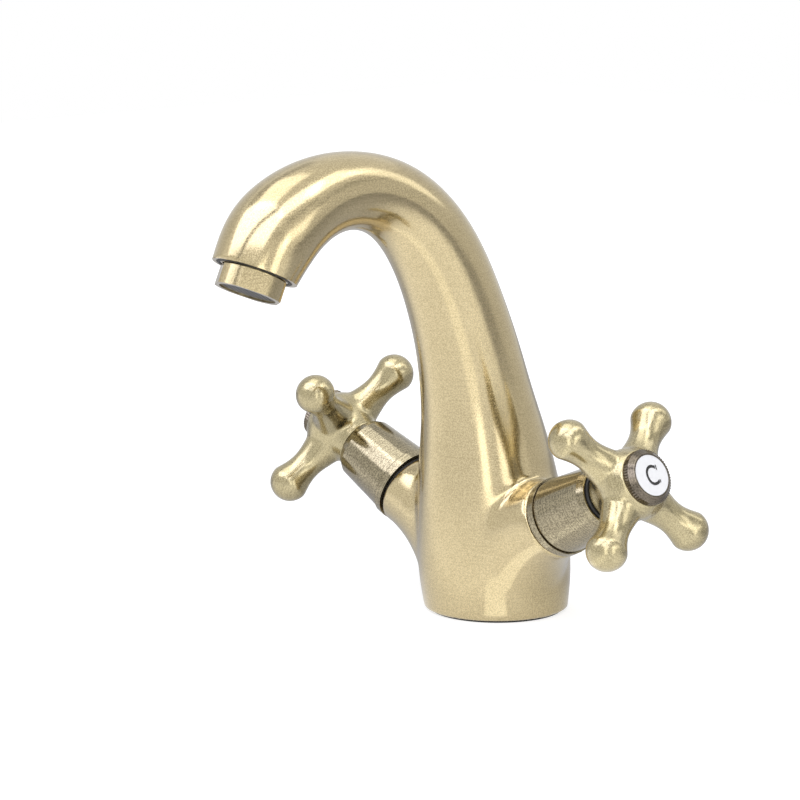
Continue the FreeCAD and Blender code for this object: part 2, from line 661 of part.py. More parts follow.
def shroud():
    """The tapered sleeve over the valve body, held by the thread in its inner web."""
    groove_bottom = SHROUD_BOTTOM + SHROUD_RIM_LENGTH
    groove_top = groove_bottom + SHROUD_GROOVE_WIDTH
    chamfer_bottom = SHROUD_TOP - SHROUD_CHAMFER_LENGTH
    web_bottom = SHROUD_THREAD_BOTTOM + SEATING_GAP
    web_top = web_bottom + SHROUD_WEB_THICKNESS
    hexagon_corner = HEXAGON_ACROSS_FLATS / math.sqrt(3.0)
    lower_bore = SHROUD_RIM_RADIUS - SHROUD_WALL
    middle_bore = max(SHROUD_LOWER_RADIUS - 2.0 * SHROUD_WALL, hexagon_corner + RUNNING_FIT)
    upper_bore = SHROUD_TOP_RADIUS - SHROUD_WALL / 2.0
    outline = [
        (lower_bore, SHROUD_BOTTOM),
        (SHROUD_RIM_RADIUS, SHROUD_BOTTOM),
        (SHROUD_RIM_RADIUS, groove_bottom),
        (SHROUD_GROOVE_RADIUS, groove_bottom),
        (SHROUD_GROOVE_RADIUS, groove_top),
        (SHROUD_LOWER_RADIUS, groove_top),
        (SHROUD_UPPER_RADIUS, chamfer_bottom),
        (SHROUD_TOP_RADIUS, SHROUD_TOP),
        (upper_bore, SHROUD_TOP),
        (upper_bore, web_top),
        (SHROUD_THREAD_RADIUS + THREAD_FIT, web_top),
        (SHROUD_THREAD_RADIUS + THREAD_FIT, web_bottom),
        (middle_bore, web_bottom),
        (middle_bore, HEXAGON_BOTTOM + SEATING_GAP),
        (lower_bore, HEXAGON_BOTTOM + SEATING_GAP),
    ]
    return turned(outline)


# ---------------------------------------------------------------- handle
def smooth_turned(outline, bottom, top):
    """A solid of revolution whose side is a smooth curve through (radius, height) points."""
    points = [Vector(radius, 0, height) for radius, height in outline]
    curve = Part.BSplineCurve()
    curve.interpolate(points)
    first = points[0]
    last = points[-1]
    edges = [
        Part.makeLine(bottom, first),
        curve.toShape(),
        Part.makeLine(last, top),
        Part.makeLine(top, bottom),
    ]
    return Part.Face(Part.Wire(edges)).revolve(bottom, Z_AXIS, 360)


def hub():
    """The handle's hub, which swells from its skirt to the arms and narrows to its front."""
    outline = [
        (HUB_SKIRT_RADIUS, HUB_BOTTOM),
        (HUB_WAIST_RADIUS, HUB_WAIST_HEIGHT),
        (HUB_RADIUS, ARM_PLANE),
        (HUB_RADIUS, ARM_PLANE + HUB_BELLY_LENGTH),
        (HUB_FRONT_RADIUS, HUB_FRONT),
    ]
    return smooth_turned(outline, Vector(0, 0, HUB_BOTTOM), Vector(0, 0, HUB_FRONT))


def arm():
    """One arm along +X: a flared root, a neck and a ball end."""
    outline = [
        (ARM_ROOT_RADIUS, ARM_ROOT_POSITION),
        (ARM_FLARE_RADIUS, ARM_FLARE_POSITION),
        (ARM_NECK_RADIUS, ARM_NECK_POSITION),
        (BALL_RADIUS, BALL_CENTRE_RADIUS),
    ]
    centre = Vector(0, 0, BALL_CENTRE_RADIUS)
    root = Vector(0, 0, ARM_ROOT_POSITION)
    stem = smooth_turned(outline, root, centre)
    solid = stem.fuse(Part.makeSphere(BALL_RADIUS, centre))
    solid.rotate(ORIGIN, Y_AXIS, 90)
    solid.translate(Vector(0, 0, ARM_PLANE))
    return solid


def handle():
    """The cross handle, hollowed for the spindle, its screw and the index ring."""
    arms = []
    for number in range(ARM_COUNT):
        copy = arm()
        copy.rotate(ORIGIN, Z_AXIS, 360.0 * (number + 0.5) / ARM_COUNT)
        arms.append(copy)
    socket = toothed_bar(SPLINE_ROOT_RADIUS + RUNNING_FIT, SPLINE_TIP_RADIUS + RUNNING_FIT,
                         SPLINE_TEETH, HUB_BOTTOM, SOCKET_TOP)
    hollow = cylinder(HUB_SKIRT_HOLLOW_RADIUS, HUB_BOTTOM, HUB_BOTTOM + HUB_SKIRT_HOLLOW_DEPTH)
    screw_hole = cylinder(SCREW_THREAD_RADIUS + THREAD_FIT, SOCKET_TOP, SCREW_SEAT)
    pocket = cylinder(SCREW_POCKET_RADIUS, SCREW_SEAT, INDEX_SEAT)
    thread = cylinder(INDEX_THREAD_RADIUS + THREAD_FIT, INDEX_SEAT, HUB_FRONT)
    solid = hub().fuse(arms)
    cut, = solid.cut([socket, hollow, screw_hole, pocket, thread]).Solids
    return cut


def handle_screw():
    """The socket-headed screw that holds the handle on the spindle."""
    head_top = SCREW_SEAT + SCREW_HEAD_HEIGHT
    shank_bottom = SPLINE_TOP - SCREW_HOLE_DEPTH + SCREW_TIP_GAP
    shank = cylinder(SCREW_THREAD_RADIUS, shank_bottom, SCREW_SEAT)
    head = cylinder(SCREW_HEAD_RADIUS, SCREW_SEAT, head_top)
    key = hexagon(SCREW_SOCKET_ACROSS_FLATS, head_top - SCREW_SOCKET_DEPTH, head_top)
    return shank.fuse(head).cut(key)


def index_ring():
    """The knurled ring in the hub's front, which frames the index disc."""
    knurl_top = HUB_FRONT + INDEX_KNURL_LENGTH
    bore = INDEX_DISC_RADIUS + THREAD_FIT
    outline = [
        (INDEX_BORE_RADIUS, INDEX_SEAT),
        (INDEX_THREAD_RADIUS, INDEX_SEAT),
        (INDEX_THREAD_RADIUS, HUB_FRONT),
        (INDEX_RING_RADIUS - INDEX_KNURL_DEPTH, HUB_FRONT),
        (INDEX_RING_RADIUS - INDEX_KNURL_DEPTH, knurl_top),
        (bore + INDEX_RING_WALL, INDEX_TOP),
        (bore, INDEX_TOP),
        (bore, INDEX_DISC_BOTTOM),
        (INDEX_BORE_RADIUS, INDEX_DISC_BOTTOM),
    ]
    teeth = toothed_bar(INDEX_RING_RADIUS - INDEX_KNURL_DEPTH, INDEX_RING_RADIUS,
                        INDEX_KNURL_COUNT, HUB_FRONT, knurl_top)
    teeth = teeth.cut(cylinder(INDEX_THREAD_RADIUS, HUB_FRONT, knurl_top))
    return turned(outline).fuse(teeth)


def index_disc():
    """The enamelled disc that carries the letter."""
    return cylinder(INDEX_DISC_RADIUS, INDEX_DISC_BOTTOM, INDEX_DISC_BOTTOM + INDEX_DISC_THICKNESS)


# ---------------------------------------------------------------- aerator
def aerator_housing():
    """The threaded brass ring with its spanner flats and inner lip."""
    thread_bottom = -AERATOR_THREAD_LENGTH
    outline = [
        (AERATOR_BORE_RADIUS, thread_bottom),
        (AERATOR_THREAD_RADIUS - THREAD_FIT, thread_bottom),
        (AERATOR_THREAD_RADIUS - THREAD_FIT, 0.0),
        (AERATOR_RELIEF_RADIUS, 0.0),
        (AERATOR_RELIEF_RADIUS, AERATOR_RELIEF_LENGTH),
        (AERATOR_RING_RADIUS, AERATOR_RELIEF_LENGTH),
        (AERATOR_RING_RADIUS, AERATOR_REACH),
        (AERATOR_LIP_RADIUS, AERATOR_REACH),
        (AERATOR_LIP_RADIUS, SCREEN_TOP),
        (AERATOR_BORE_RADIUS, SCREEN_TOP),
    ]
    ring = turned(outline)
    flats = []
    for number in range(AERATOR_FLAT_COUNT):
        flat = Part.makeBox(AERATOR_RING_RADIUS, 2.0 * AERATOR_RING_RADIUS, AERATOR_REACH,
                            Vector(AERATOR_ACROSS_FLATS / 2.0, -AERATOR_RING_RADIUS, AERATOR_RELIEF_LENGTH))
        flat.rotate(ORIGIN, Z_AXIS, AERATOR_FLAT_TURN + 360.0 * number / AERATOR_FLAT_COUNT)
        flats.append(flat)
    return ring.cut(flats)


def hole_grid(radius, pitch, limit, bottom, top):
    """Round holes on a triangular grid, all inside the limit radius."""
    holes = []
    reach = int(limit / pitch) + 1
    row_pitch = pitch * math.sqrt(3.0) / 2.0
    for row in range(-reach - 1, reach + 2):
        for column in range(-reach - 1, reach + 2):
            x = pitch * (column + 0.5 * (row % 2))
            y = row_pitch * row
            if math.hypot(x, y) + radius < limit:
                holes.append(cylinder(radius, bottom, top, x, y))
    return holes


def aerator_insert():
    """The plastic flow straightener inside the housing."""
    bottom = SCREEN_BOTTOM - INSERT_LENGTH
    outside = AERATOR_BORE_RADIUS - INSERT_PLAY
    body = cylinder(outside, bottom, SCREEN_BOTTOM)
    limit = outside - INSERT_RIM
    return body.cut(hole_grid(INSERT_HOLE_RADIUS, INSERT_HOLE_PITCH, limit, bottom, SCREEN_BOTTOM))


def aerator_screen():
    """The dark mesh disc that rests on the housing's lip."""
    outside = AERATOR_BORE_RADIUS - INSERT_PLAY
    body = cylinder(outside, SCREEN_BOTTOM, SCREEN_TOP)
    limit = AERATOR_LIP_RADIUS
    return body.cut(hole_grid(SCREEN_HOLE_RADIUS, SCREEN_HOLE_PITCH, limit, SCREEN_BOTTOM, SCREEN_TOP))


def aerator_washer():
    """The rubber washer between the housing's end and the socket's floor."""
    outside = AERATOR_THREAD_RADIUS - INSERT_PLAY
    return tube(outside, AERATOR_WASHER_BORE_RADIUS, -AERATOR_SOCKET_DEPTH, -AERATOR_THREAD_LENGTH)


# ---------------------------------------------------------------- the parts
VALVE_PIECES = {
    "seat_seal": seat_seal,
    "fixed_disc": fixed_disc,
    "thrust_washer": thrust_washer,
    "valve_body": valve_body,
    "valve_seal": valve_seal,
    "shroud": shroud,
}
TURNING_PIECES = {
    "moving_disc": moving_disc,
    "spindle": spindle,
    "spindle_o_ring": spindle_o_ring,
    "circlip": circlip,
    "handle": handle,
    "handle_screw": handle_screw,
    "index_ring": index_ring,
    "index_disc": index_disc,
}
AERATOR_PIECES = {
    "aerator_housing": aerator_housing,
    "aerator_insert": aerator_insert,
    "aerator_screen": aerator_screen,
    "aerator_washer": aerator_washer,
}


def all_parts():
    """Every piece of the tap by name, in the row's frame."""
    parts = {"tap_body": tap_body(), "base_seal": base_seal()}
    for name, make in AERATOR_PIECES.items():
        parts[name] = placed(make(), MOUTH)
    for name, make in VALVE_PIECES.items():
        piece = placed(make(), VALVE)
        parts["cold_" + name] = piece
        parts["hot_" + name] = mirrored(piece)
    for name, make in TURNING_PIECES.items():
        for side, turn in (("cold_", COLD_HANDLE_TURN), ("hot_", HOT_HANDLE_TURN)):
            turned_piece = make()
            turned_piece.rotate(ORIGIN, Z_AXIS, turn)
            piece = placed(turned_piece, VALVE)
            parts[side + name] = piece if side == "cold_" else mirrored(piece)
    return parts


if __name__ == "__main__":
    os.makedirs("parts", exist_ok=True)
    for node, shape in all_parts().items():
        shape.exportStep("parts/" + node + ".step")
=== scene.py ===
"""Looks of a cross handle basin mixer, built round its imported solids.

The forms' lengths are in millimetres, as on a drawing, and are turned into metres where a mesh is
made. The finishes and the studio are in metres. The spout points to -Y, the cold valve is on +X and
the hot valve on -X.
"""
from __future__ import annotations

import json
import logging
import math
from dataclasses import dataclass, field
from enum import Enum
from typing import Callable, Iterable, Sequence

import bpy
import numpy as np
from mathutils import Matrix, Vector

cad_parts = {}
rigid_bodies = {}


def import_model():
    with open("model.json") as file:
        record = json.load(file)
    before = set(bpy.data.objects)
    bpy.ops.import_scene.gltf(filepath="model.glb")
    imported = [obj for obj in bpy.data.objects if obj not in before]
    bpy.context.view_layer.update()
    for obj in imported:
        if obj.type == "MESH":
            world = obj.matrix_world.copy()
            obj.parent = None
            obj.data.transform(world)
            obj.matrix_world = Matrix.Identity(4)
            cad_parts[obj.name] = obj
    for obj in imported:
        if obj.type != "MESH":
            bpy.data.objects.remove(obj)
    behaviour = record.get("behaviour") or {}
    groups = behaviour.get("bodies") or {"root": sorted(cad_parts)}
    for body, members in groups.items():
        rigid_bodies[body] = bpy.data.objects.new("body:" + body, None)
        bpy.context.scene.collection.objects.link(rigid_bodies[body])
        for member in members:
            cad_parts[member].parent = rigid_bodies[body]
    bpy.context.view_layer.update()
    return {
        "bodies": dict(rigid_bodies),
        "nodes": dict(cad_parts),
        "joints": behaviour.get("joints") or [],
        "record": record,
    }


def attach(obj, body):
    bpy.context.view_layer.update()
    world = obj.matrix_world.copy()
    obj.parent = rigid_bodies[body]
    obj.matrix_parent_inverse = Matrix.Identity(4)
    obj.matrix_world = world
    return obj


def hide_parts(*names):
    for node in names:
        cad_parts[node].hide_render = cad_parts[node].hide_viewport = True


LOG = logging.getLogger("basin_mixer")
MM = 0.001
# the angle of a valve's axis above the level
VALVE_TILT = math.radians(26.0)

Piece = bpy.types.Object
Socket = bpy.types.NodeSocket
Pairs = tuple[tuple[float, float], ...]
Colour = tuple[float, float, float]
WHITE: Colour = (1.0, 1.0, 1.0)
BLACK: Colour = (0.0, 0.0, 0.0)

# how far one smoothing pass takes a point towards the middle of its neighbours
SMOOTH_FACTOR = 0.5
# how often a fused skin is smoothed all over
SKIN_PASSES = 4
# a turn or a growth below this is left out
TINY = 1e-7


class Side(Enum):
    """The two sides of the tap, as the sign of their X."""

    COLD = 1
    HOT = -1

    @property
    def word(self) -> str:
        """The side's name as the nodes and bodies spell it."""
        return self.name.lower()


# ---------------- small tools
def deselect_all() -> None:
    """Leaves nothing selected and no mesh in edit mode."""
    if bpy.context.object and bpy.context.object.mode != "OBJECT":
        bpy.ops.object.mode_set(mode="OBJECT")
    bpy.ops.object.select_all(action="DESELECT")


def activate(piece: Piece) -> None:
    """Selects one object alone and makes it the active one.

    Args:
        piece: the object to work on next.
    """
    deselect_all()
    piece.select_set(True)
    bpy.context.view_layer.objects.active = piece


def join(pieces: Sequence[Piece], name: str) -> Piece:
    """Joins several meshes into the first one.

    Args:
        pieces: the meshes, the first of which is kept.
        name: the joined object's name.

    Returns:
        The joined object.
    """
    activate(pieces[0])
    for piece in pieces:
        piece.select_set(True)
    bpy.ops.object.join()
    pieces[0].name = name
    return pieces[0]


def apply_modifier(piece: Piece, kind: str, **settings: object) -> None:
    """Adds one modifier, sets it and applies it.

    Args:
        piece: the mesh object.
        kind: the modifier's type.
        **settings: its properties by name.
    """
    activate(piece)
    modifier = piece.modifiers.new(kind.lower(), kind)
    for name, value in settings.items():
        setattr(modifier, name, value)
    bpy.ops.object.modifier_apply(modifier=modifier.name)


def cut_away(piece: Piece, cutters: Iterable[Piece]) -> None:
    """Cuts each cutter out of the piece and removes the cutter.

    Args:
        piece: the closed mesh that is cut.
        cutters: closed meshes.
    """
    for cutter in cutters:
        apply_modifier(piece, "BOOLEAN", operation="DIFFERENCE", object=cutter, solver="EXACT")
        bpy.data.objects.remove(cutter)


def place(piece: Piece, matrix: Matrix) -> None:
    """Moves a mesh into place and leaves its object at the origin.

    Args:
        piece: a mesh object at the origin.
        matrix: where its mesh goes, which may mirror it.
    """
    piece.data.transform(matrix)
    if matrix.determinant() < 0:
        piece.data.flip_normals()
    piece.data.update()


def shade_by_angle(piece: Piece, degrees: float = 40.0) -> None:
    """Shades a mesh smooth, with its sharp edges kept."""
    activate(piece)
    bpy.ops.object.shade_smooth_by_angle(angle=math.radians(degrees))


def copy_of(piece: Piece, name: str) -> Piece:
    """A copy with its own mesh, in the same scene.

    Args:
        piece: the mesh object to copy.
        name: the copy's name.

    Returns:
        The copy.
    """
    twin = piece.copy()
    twin.data = piece.data.copy()
    twin.name = name
    bpy.context.scene.collection.objects.link(twin)
    return twin


@dataclass(frozen=True)
class Window:
    """A weight that rises from 0 to 1 past its low end and falls back to 0 before its high end."""

    low: float = -math.inf
    rise: float = 1.0
    high: float = math.inf
    fall: float = 1.0

    def weight(self, value: float) -> float:
        """The weight at a value, from 0 to 1."""
        shares = ((value - self.low) / self.rise, (self.high - value) / self.fall)
        return math.prod(min(max(share, 0.0), 1.0) for share in shares)


@dataclass(frozen=True)
class Region:
    """A part of a mesh to smooth, by windows in millimetres on where its points lie.

    across is the distance from the YZ plane, height is Z, and reach is the distance from the Z axis.
    """

    name: str
    passes: int
    across: Window = Window()
    height: Window = Window()
    reach: Window = Window()

    def weight(self, point: Vector) -> float:
        """How much a point, in metres, belongs to the region."""
        x, y, z = (value / MM for value in point)
        return self.across.weight(abs(x)) * self.height.weight(z) * self.reach.weight(math.hypot(x, y))


def fuse(pieces: Sequence[Piece], name: str, voxel: float, *regions: Region) -> Piece:
    """Joins overlapping forms under one skin, evens it, and smooths regions of it further in turn.

    Args:
        pieces: closed meshes that overlap.
        name: the joined object's name.
        voxel: the skin's fineness in millimetres.
        *regions: what to smooth, weighed before the first of them is smoothed.

    Returns:
        The fused object.
    """
    piece = join(pieces, name)
    apply_modifier(piece, "REMESH", mode="VOXEL", voxel_size=voxel * MM, use_smooth_shade=True)
    apply_modifier(piece, "SMOOTH", factor=SMOOTH_FACTOR, iterations=SKIN_PASSES)
    for region in regions:
        group = piece.vertex_groups.new(name=region.name)
        for vertex in piece.data.vertices:
            weight = region.weight(vertex.co)
            if weight > 0.0:
                group.add([vertex.index], weight, "REPLACE")
    for region in regions:
        apply_modifier(
            piece, "SMOOTH", factor=SMOOTH_FACTOR, iterations=region.passes, vertex_group=region.name)
    piece.vertex_groups.clear()
    return piece


class SmoothLine:
    """A natural cubic curve through values at increasing places."""

    def __init__(self, places: Sequence[float], values: Sequence[float]) -> None:
        """Solves for the curve's second derivatives.

        Args:
            places: increasing positions.
            values: the value at each position.
        """
        self.places = np.array(places, float)
        self.values = np.array(values, float)
        step = np.diff(self.places)
        count = len(self.places)
        system = np.eye(count)
        right = np.zeros(count)
        for i in range(1, count - 1):
            system[i, i - 1:i + 2] = (step[i - 1], 2.0 * (step[i - 1] + step[i]), step[i])
            rise = np.diff(self.values)[i - 1:i + 1] / step[i - 1:i + 1]
            right[i] = 6.0 * (rise[1] - rise[0])
        self.bends = np.linalg.solve(system, right)

    def at(self, place: float) -> float:
        """The curve's value, carried on past the two ends.

        Args:
            place: a position.

        Returns:
            The value there.
        """
        i = int(np.clip(np.searchsorted(self.places, place) - 1, 0, len(self.places) - 2))
        step = self.places[i + 1] - self.places[i]
        low = (self.places[i + 1] - place) / step
        high = 1.0 - low
        bend = (low ** 3 - low) * self.bends[i] + (high ** 3 - high) * self.bends[i + 1]
        value = low * self.values[i] + high * self.values[i + 1]
        return float(value + bend * step ** 2 / 6.0)

    def slope(self, place: float) -> float:
        """The curve's slope, measured over a thousandth of its length to each side.

        Args:
            place: a position; past the curve's end, the slope is measured back to it.

        Returns:
            The slope there.
        """
        small = 1e-3 * (self.places[-1] - self.places[0])
        low = max(place - small, float(self.places[0]))
        high = min(place + small, float(self.places[-1]))
        return (self.at(high) - self.at(low)) / (high - low)


@dataclass(frozen=True)
class Ring:
    """One round section of a form: its centre and radius in millimetres, and its tilt in radians.

    The neck's sections lean about X. A boss's lean about Y, and follow the splay about Z.
    """

    centre: tuple[float, float, float]
    radius: float
    about_x: float = 0.0
    about_y: float = 0.0
    about_z: float = 0.0


def swept(name: str, rings: Sequence[Ring], sides: int = 96) -> Piece:
    """Draws a closed form by extruding, turning and scaling a disc from ring to ring.

    Args:
        name: the object's name.
        rings: the sections, in order.
        sides: how many edges each ring has.

    Returns:
        The closed mesh, in metres.
    """
    deselect_all()
    first = rings[0]
    bpy.ops.mesh.primitive_circle_add(
        vertices=sides, radius=first.radius * MM, fill_type="NGON",
        location=Vector(first.centre) * MM, rotation=(first.about_x, first.about_y, 0.0))
    piece = bpy.context.object
    bpy.ops.object.transform_apply(location=True, rotation=True, scale=True)
    bpy.ops.object.mode_set(mode="EDIT")
    for last, ring in zip(rings, rings[1:]):
        centre = Vector(ring.centre) * MM
        step = centre - Vector(last.centre) * MM
        bpy.ops.mesh.extrude_region_move(TRANSFORM_OT_translate={"value": step})
        turns = (ring.about_x - last.about_x, ring.about_y - last.about_y, ring.about_z - last.about_z)
        for axis, turn in zip("XYZ", turns):
            if abs(turn) > TINY:
                # without a window the operator turns clockwise for a positive value
                bpy.ops.transform.rotate(value=-turn, orient_axis=axis, center_override=centre)
        growth = ring.radius / last.radius
        if abs(growth - 1.0) > TINY:
            bpy.ops.transform.resize(value=(growth,) * 3, center_override=centre)
    bpy.ops.mesh.select_all(action="SELECT")
    bpy.ops.mesh.normals_make_consistent(inside=False)
    bpy.ops.object.mode_set(mode="OBJECT")
    piece.name = name
    return piece


def moved(x: float, y: float, z: float) -> Matrix:
    """A move by so many millimetres."""
    return Matrix.Translation(Vector((x, y, z)) * MM)


def turned(name: str, outline: Sequence[tuple[float, float]], sides: int = 96,
           frame: Matrix | None = None) -> Piece:
    """Draws a closed bar about Z from (radius, height) corners.

    Args:
        name: the object's name.
        outline: the corners from one end to the other.
        sides: how many edges each ring has.
        frame: where the bar goes, if it doesn't stay about Z.

    Returns:
        The closed mesh, in metres.
    """
    piece = swept(name, [Ring((0.0, 0.0, height), radius) for radius, height in outline], sides)
    if frame is not None:
        place(piece, frame)
    return piece


# ---------------- finishes
class Grain(Enum):
    """The direction across a brushed finish's lines, in the cold side's half of the tap."""

    LEVEL = (0.0, 0.0, 1.0)
    ROUND_VALVE = (math.cos(VALVE_TILT), -0.037, math.sin(VALVE_TILT))


class NodeTree:
    """A thin wrapper that adds nodes to a material's or the world's tree."""

    def __init__(self, tree: bpy.types.NodeTree) -> None:
        """Keeps the tree that the nodes go into."""
        self.tree = tree

    def fill(self, node: bpy.types.Node, inputs: dict[str | int, object]) -> None:
        """Links or sets some of a node's inputs.

        Args:
            node: the node.
            inputs: another node's output or a plain value, by the input's name or number.
        """
        for name, value in inputs.items():
            if isinstance(value, Socket):
                self.tree.links.new(value, node.inputs[name])
            else:
                node.inputs[name].default_value = value

    def add(self, kind: str, inputs: dict[str | int, object], **settings: object) -> bpy.types.Node:
        """Adds one node.

        Args:
            kind: the node's type.
            inputs: what goes into it, as for fill.
            **settings: its properties by name.

        Returns:
            The node.
        """
        node = self.tree.nodes.new(kind)
        for name, value in settings.items():
            setattr(node, name, value)
        self.fill(node, inputs)
        return node

    def fold(self, operation: str, *values: Socket) -> Socket:
        """Works several values into one, two at a time.

        Args:
            operation: what joins two of them, such as ADD.
            *values: the values.

        Returns:
            The result.
        """
        total = values[0]
        for value in values[1:]:
            total = self.add("ShaderNodeMath", {0: total, 1: value}, operation=operation).outputs[0]
        return total

    def span(self, value: Socket, low: float, high: float, start: float = 0.0, end: float = 1.0) -> Socket:
        """Maps a value from the range of start and end to that of low and high, and keeps it inside."""
        node = self.add("ShaderNodeMapRange", {
            "Value": value, "From Min": start, "From Max": end, "To Min": low, "To Max": high})
        return node.outputs["Result"]

    def rays(self, *kinds: str) -> Socket:
        """One for rays of the named kinds, which are outputs of the Light Path node, and else zero."""
        path = self.add("ShaderNodeLightPath", {})
        return self.fold("MAXIMUM", *(path.outputs[kind] for kind in kinds))


class Surface(NodeTree):
    """A new material's tree, with its Principled shader and the object's own coordinates."""

    # most of a noise's values lie between these two
    NOISE_LOW, NOISE_HIGH = 0.3, 0.7

    def __init__(self, name: str, inputs: dict[str | int, object]) -> None:
        """Starts a material.

        Args:
            name: the material's name.
            inputs: plain values for the shader's inputs.
        """
        self.material = bpy.data.materials.new(name)
        self.material.use_nodes = True
        super().__init__(self.material.node_tree)
        self.shader = self.tree.nodes["Principled BSDF"]
        self.fill(self.shader, inputs)
        self.place = self.add("ShaderNodeTexCoord", {}).outputs["Object"]

    def noise(self, scale: float, detail: float, rough: float = 0.55) -> Socket:
        """Noise from 0 to 1 of a scale in grains to the metre, with finer layers and their strength."""
        node = self.add("ShaderNodeTexNoise", {
            "Vector": self.place, "Scale": scale, "Detail": detail, "Roughness": rough})
        return node.outputs["Fac"]

    def along(self, vector: Socket, way: Sequence[float]) -> Socket:
        """How far a vector reaches one way."""
        node = self.add("ShaderNodeVectorMath", {0: vector, 1: way}, operation="DOT_PRODUCT")
        return node.outputs["Value"]

    def brush_lines(self, grain: Grain, fineness: float) -> Socket:
        """Noise that changes across the brush's lines alone, and mirrors on the hot side.

        Args:
            grain: the way the lines run.
            fineness: lines to the metre.

        Returns:
            The noise's value.
        """
        folded = self.add("ShaderNodeVectorMath", {0: self.place}, operation="ABSOLUTE")
        mirrored = self.add("ShaderNodeSeparateXYZ", {"Vector": folded.outputs["Vector"]})
        here = self.add("ShaderNodeSeparateXYZ", {"Vector": self.place})
        joined = self.add("ShaderNodeCombineXYZ", {
            "X": mirrored.outputs["X"], "Y": here.outputs["Y"], "Z": here.outputs["Z"]})
        across = self.along(joined.outputs["Vector"], grain.value)
        inputs = {"W": across, "Scale": fineness, "Detail": 3.0, "Roughness": 0.7}
        return self.add("ShaderNodeTexNoise", inputs, noise_dimensions="1D").outputs["Fac"]

    def spread(self, noise: Socket, middle: float, swing: float) -> Socket:
        """Maps a noise to a middle value with the same swing to each side."""
        return self.span(noise, middle - swing, middle + swing, self.NOISE_LOW, self.NOISE_HIGH)

    def blend(self, share: Socket, low: Colour, high: Colour) -> Socket:
        """A colour between two, by a value from 0 to 1.

        Args:
            share: the value.
            low: linear colour at 0.
            high: linear colour at 1.

        Returns:
            The colour.
        """
        node = self.add("ShaderNodeMix", {}, data_type="RGBA")
        sockets = {socket.identifier: socket for socket in (*node.inputs, *node.outputs)}
        sockets["A_Color"].default_value = (*low, 1.0)
        sockets["B_Color"].default_value = (*high, 1.0)
        self.tree.links.new(share, sockets["Factor_Float"])
        return sockets["Result_Color"]

    def bump(self, height: Socket, strength: float, depth: float) -> Socket:
        """The normal of a surface whose height, from 0 to 1, is scaled by a depth in metres."""
        node = self.add("ShaderNodeBump", {"Height": height, "Strength": strength, "Distance": depth})
        return node.outputs["Normal"]


@dataclass(frozen=True)
class AntiqueBrass:
    """Brushed, lacquered antique brass.

    The colour clouds between a bright and a dark brass, with fine speckle over it, and the
    roughness and the bump follow the brush's lines, which run level or round the valve axes.
    """

    name: str
    bright: Colour
    dark: Colour
    roughness: float
    grain: Grain
    lines: float = 0.3
    speckle: float = 0.9
    relief: float = 0.25
    fineness: float = 1500.0
    coat: float = 0.0
    coat_roughness: float = 0.15
    speck_scale: float = 2300.0
    cloud_scale: float = 60.0
    cloud_swing: float = 0.1
    line_roughness: float = 0.03
    speck_roughness: float = 0.05
    depth: float = 0.0001

    def build(self) -> bpy.types.Material:
        """Makes the material.

        Returns:
            The material.
        """
        surface = Surface(self.name, {
            "Metallic": 1.0, "Coat Weight": self.coat, "Coat Roughness": self.coat_roughness})
        spread = surface.spread
        lines = surface.brush_lines(self.grain, self.fineness)
        specks = surface.noise(self.speck_scale, detail=2.0, rough=0.7)
        clouds = surface.noise(self.cloud_scale, detail=3.0, rough=0.5)
        share = surface.fold(
            "ADD", spread(lines, 0.0, self.lines), spread(specks, 0.0, self.speckle),
            spread(clouds, 0.5, self.cloud_swing))
        rough = surface.fold(
            "ADD", spread(lines, self.roughness, self.line_roughness),
            spread(specks, 0.0, self.speck_roughness))
        height = surface.fold("ADD", surface.span(lines, 0.0, 0.5), surface.span(specks, 0.0, 0.5))
        surface.fill(surface.shader, {
            "Base Color": surface.blend(share, self.dark, self.bright),
            "Roughness": rough,
            "Normal": surface.bump(height, self.relief, self.depth)})
        return surface.material


@dataclass(frozen=True)
class PlainFinish:
    """A finish with a faint mottle: rubber, plastic, enamel, ceramic or machined metal."""

    name: str
    colour: Colour
    roughness: float
    metallic: float = 0.0
    mottle: float = 0.06
    coat: float = 0.0
    coat_roughness: float = 0.05
    mottle_scale: float = 700.0
    roughness_swing: float = 0.04
    relief: float = 0.08
    depth: float = 0.00005

    def build(self) -> bpy.types.Material:
        """Makes the material.

        Returns:
            The material.
        """
        surface = Surface(self.name, {
            "Metallic": self.metallic, "Coat Weight": self.coat, "Coat Roughness": self.coat_roughness})
        grain = surface.noise(self.mottle_scale, detail=3.0)
        dark = tuple(channel * (1.0 - self.mottle) for channel in self.colour)
        surface.fill(surface.shader, {
            "Base Color": surface.blend(surface.spread(grain, 0.5, 0.5), dark, self.colour),
            "Roughness": surface.spread(grain, self.roughness, self.roughness_swing),
            "Normal": surface.bump(grain, self.relief, self.depth)})
        return surface.material


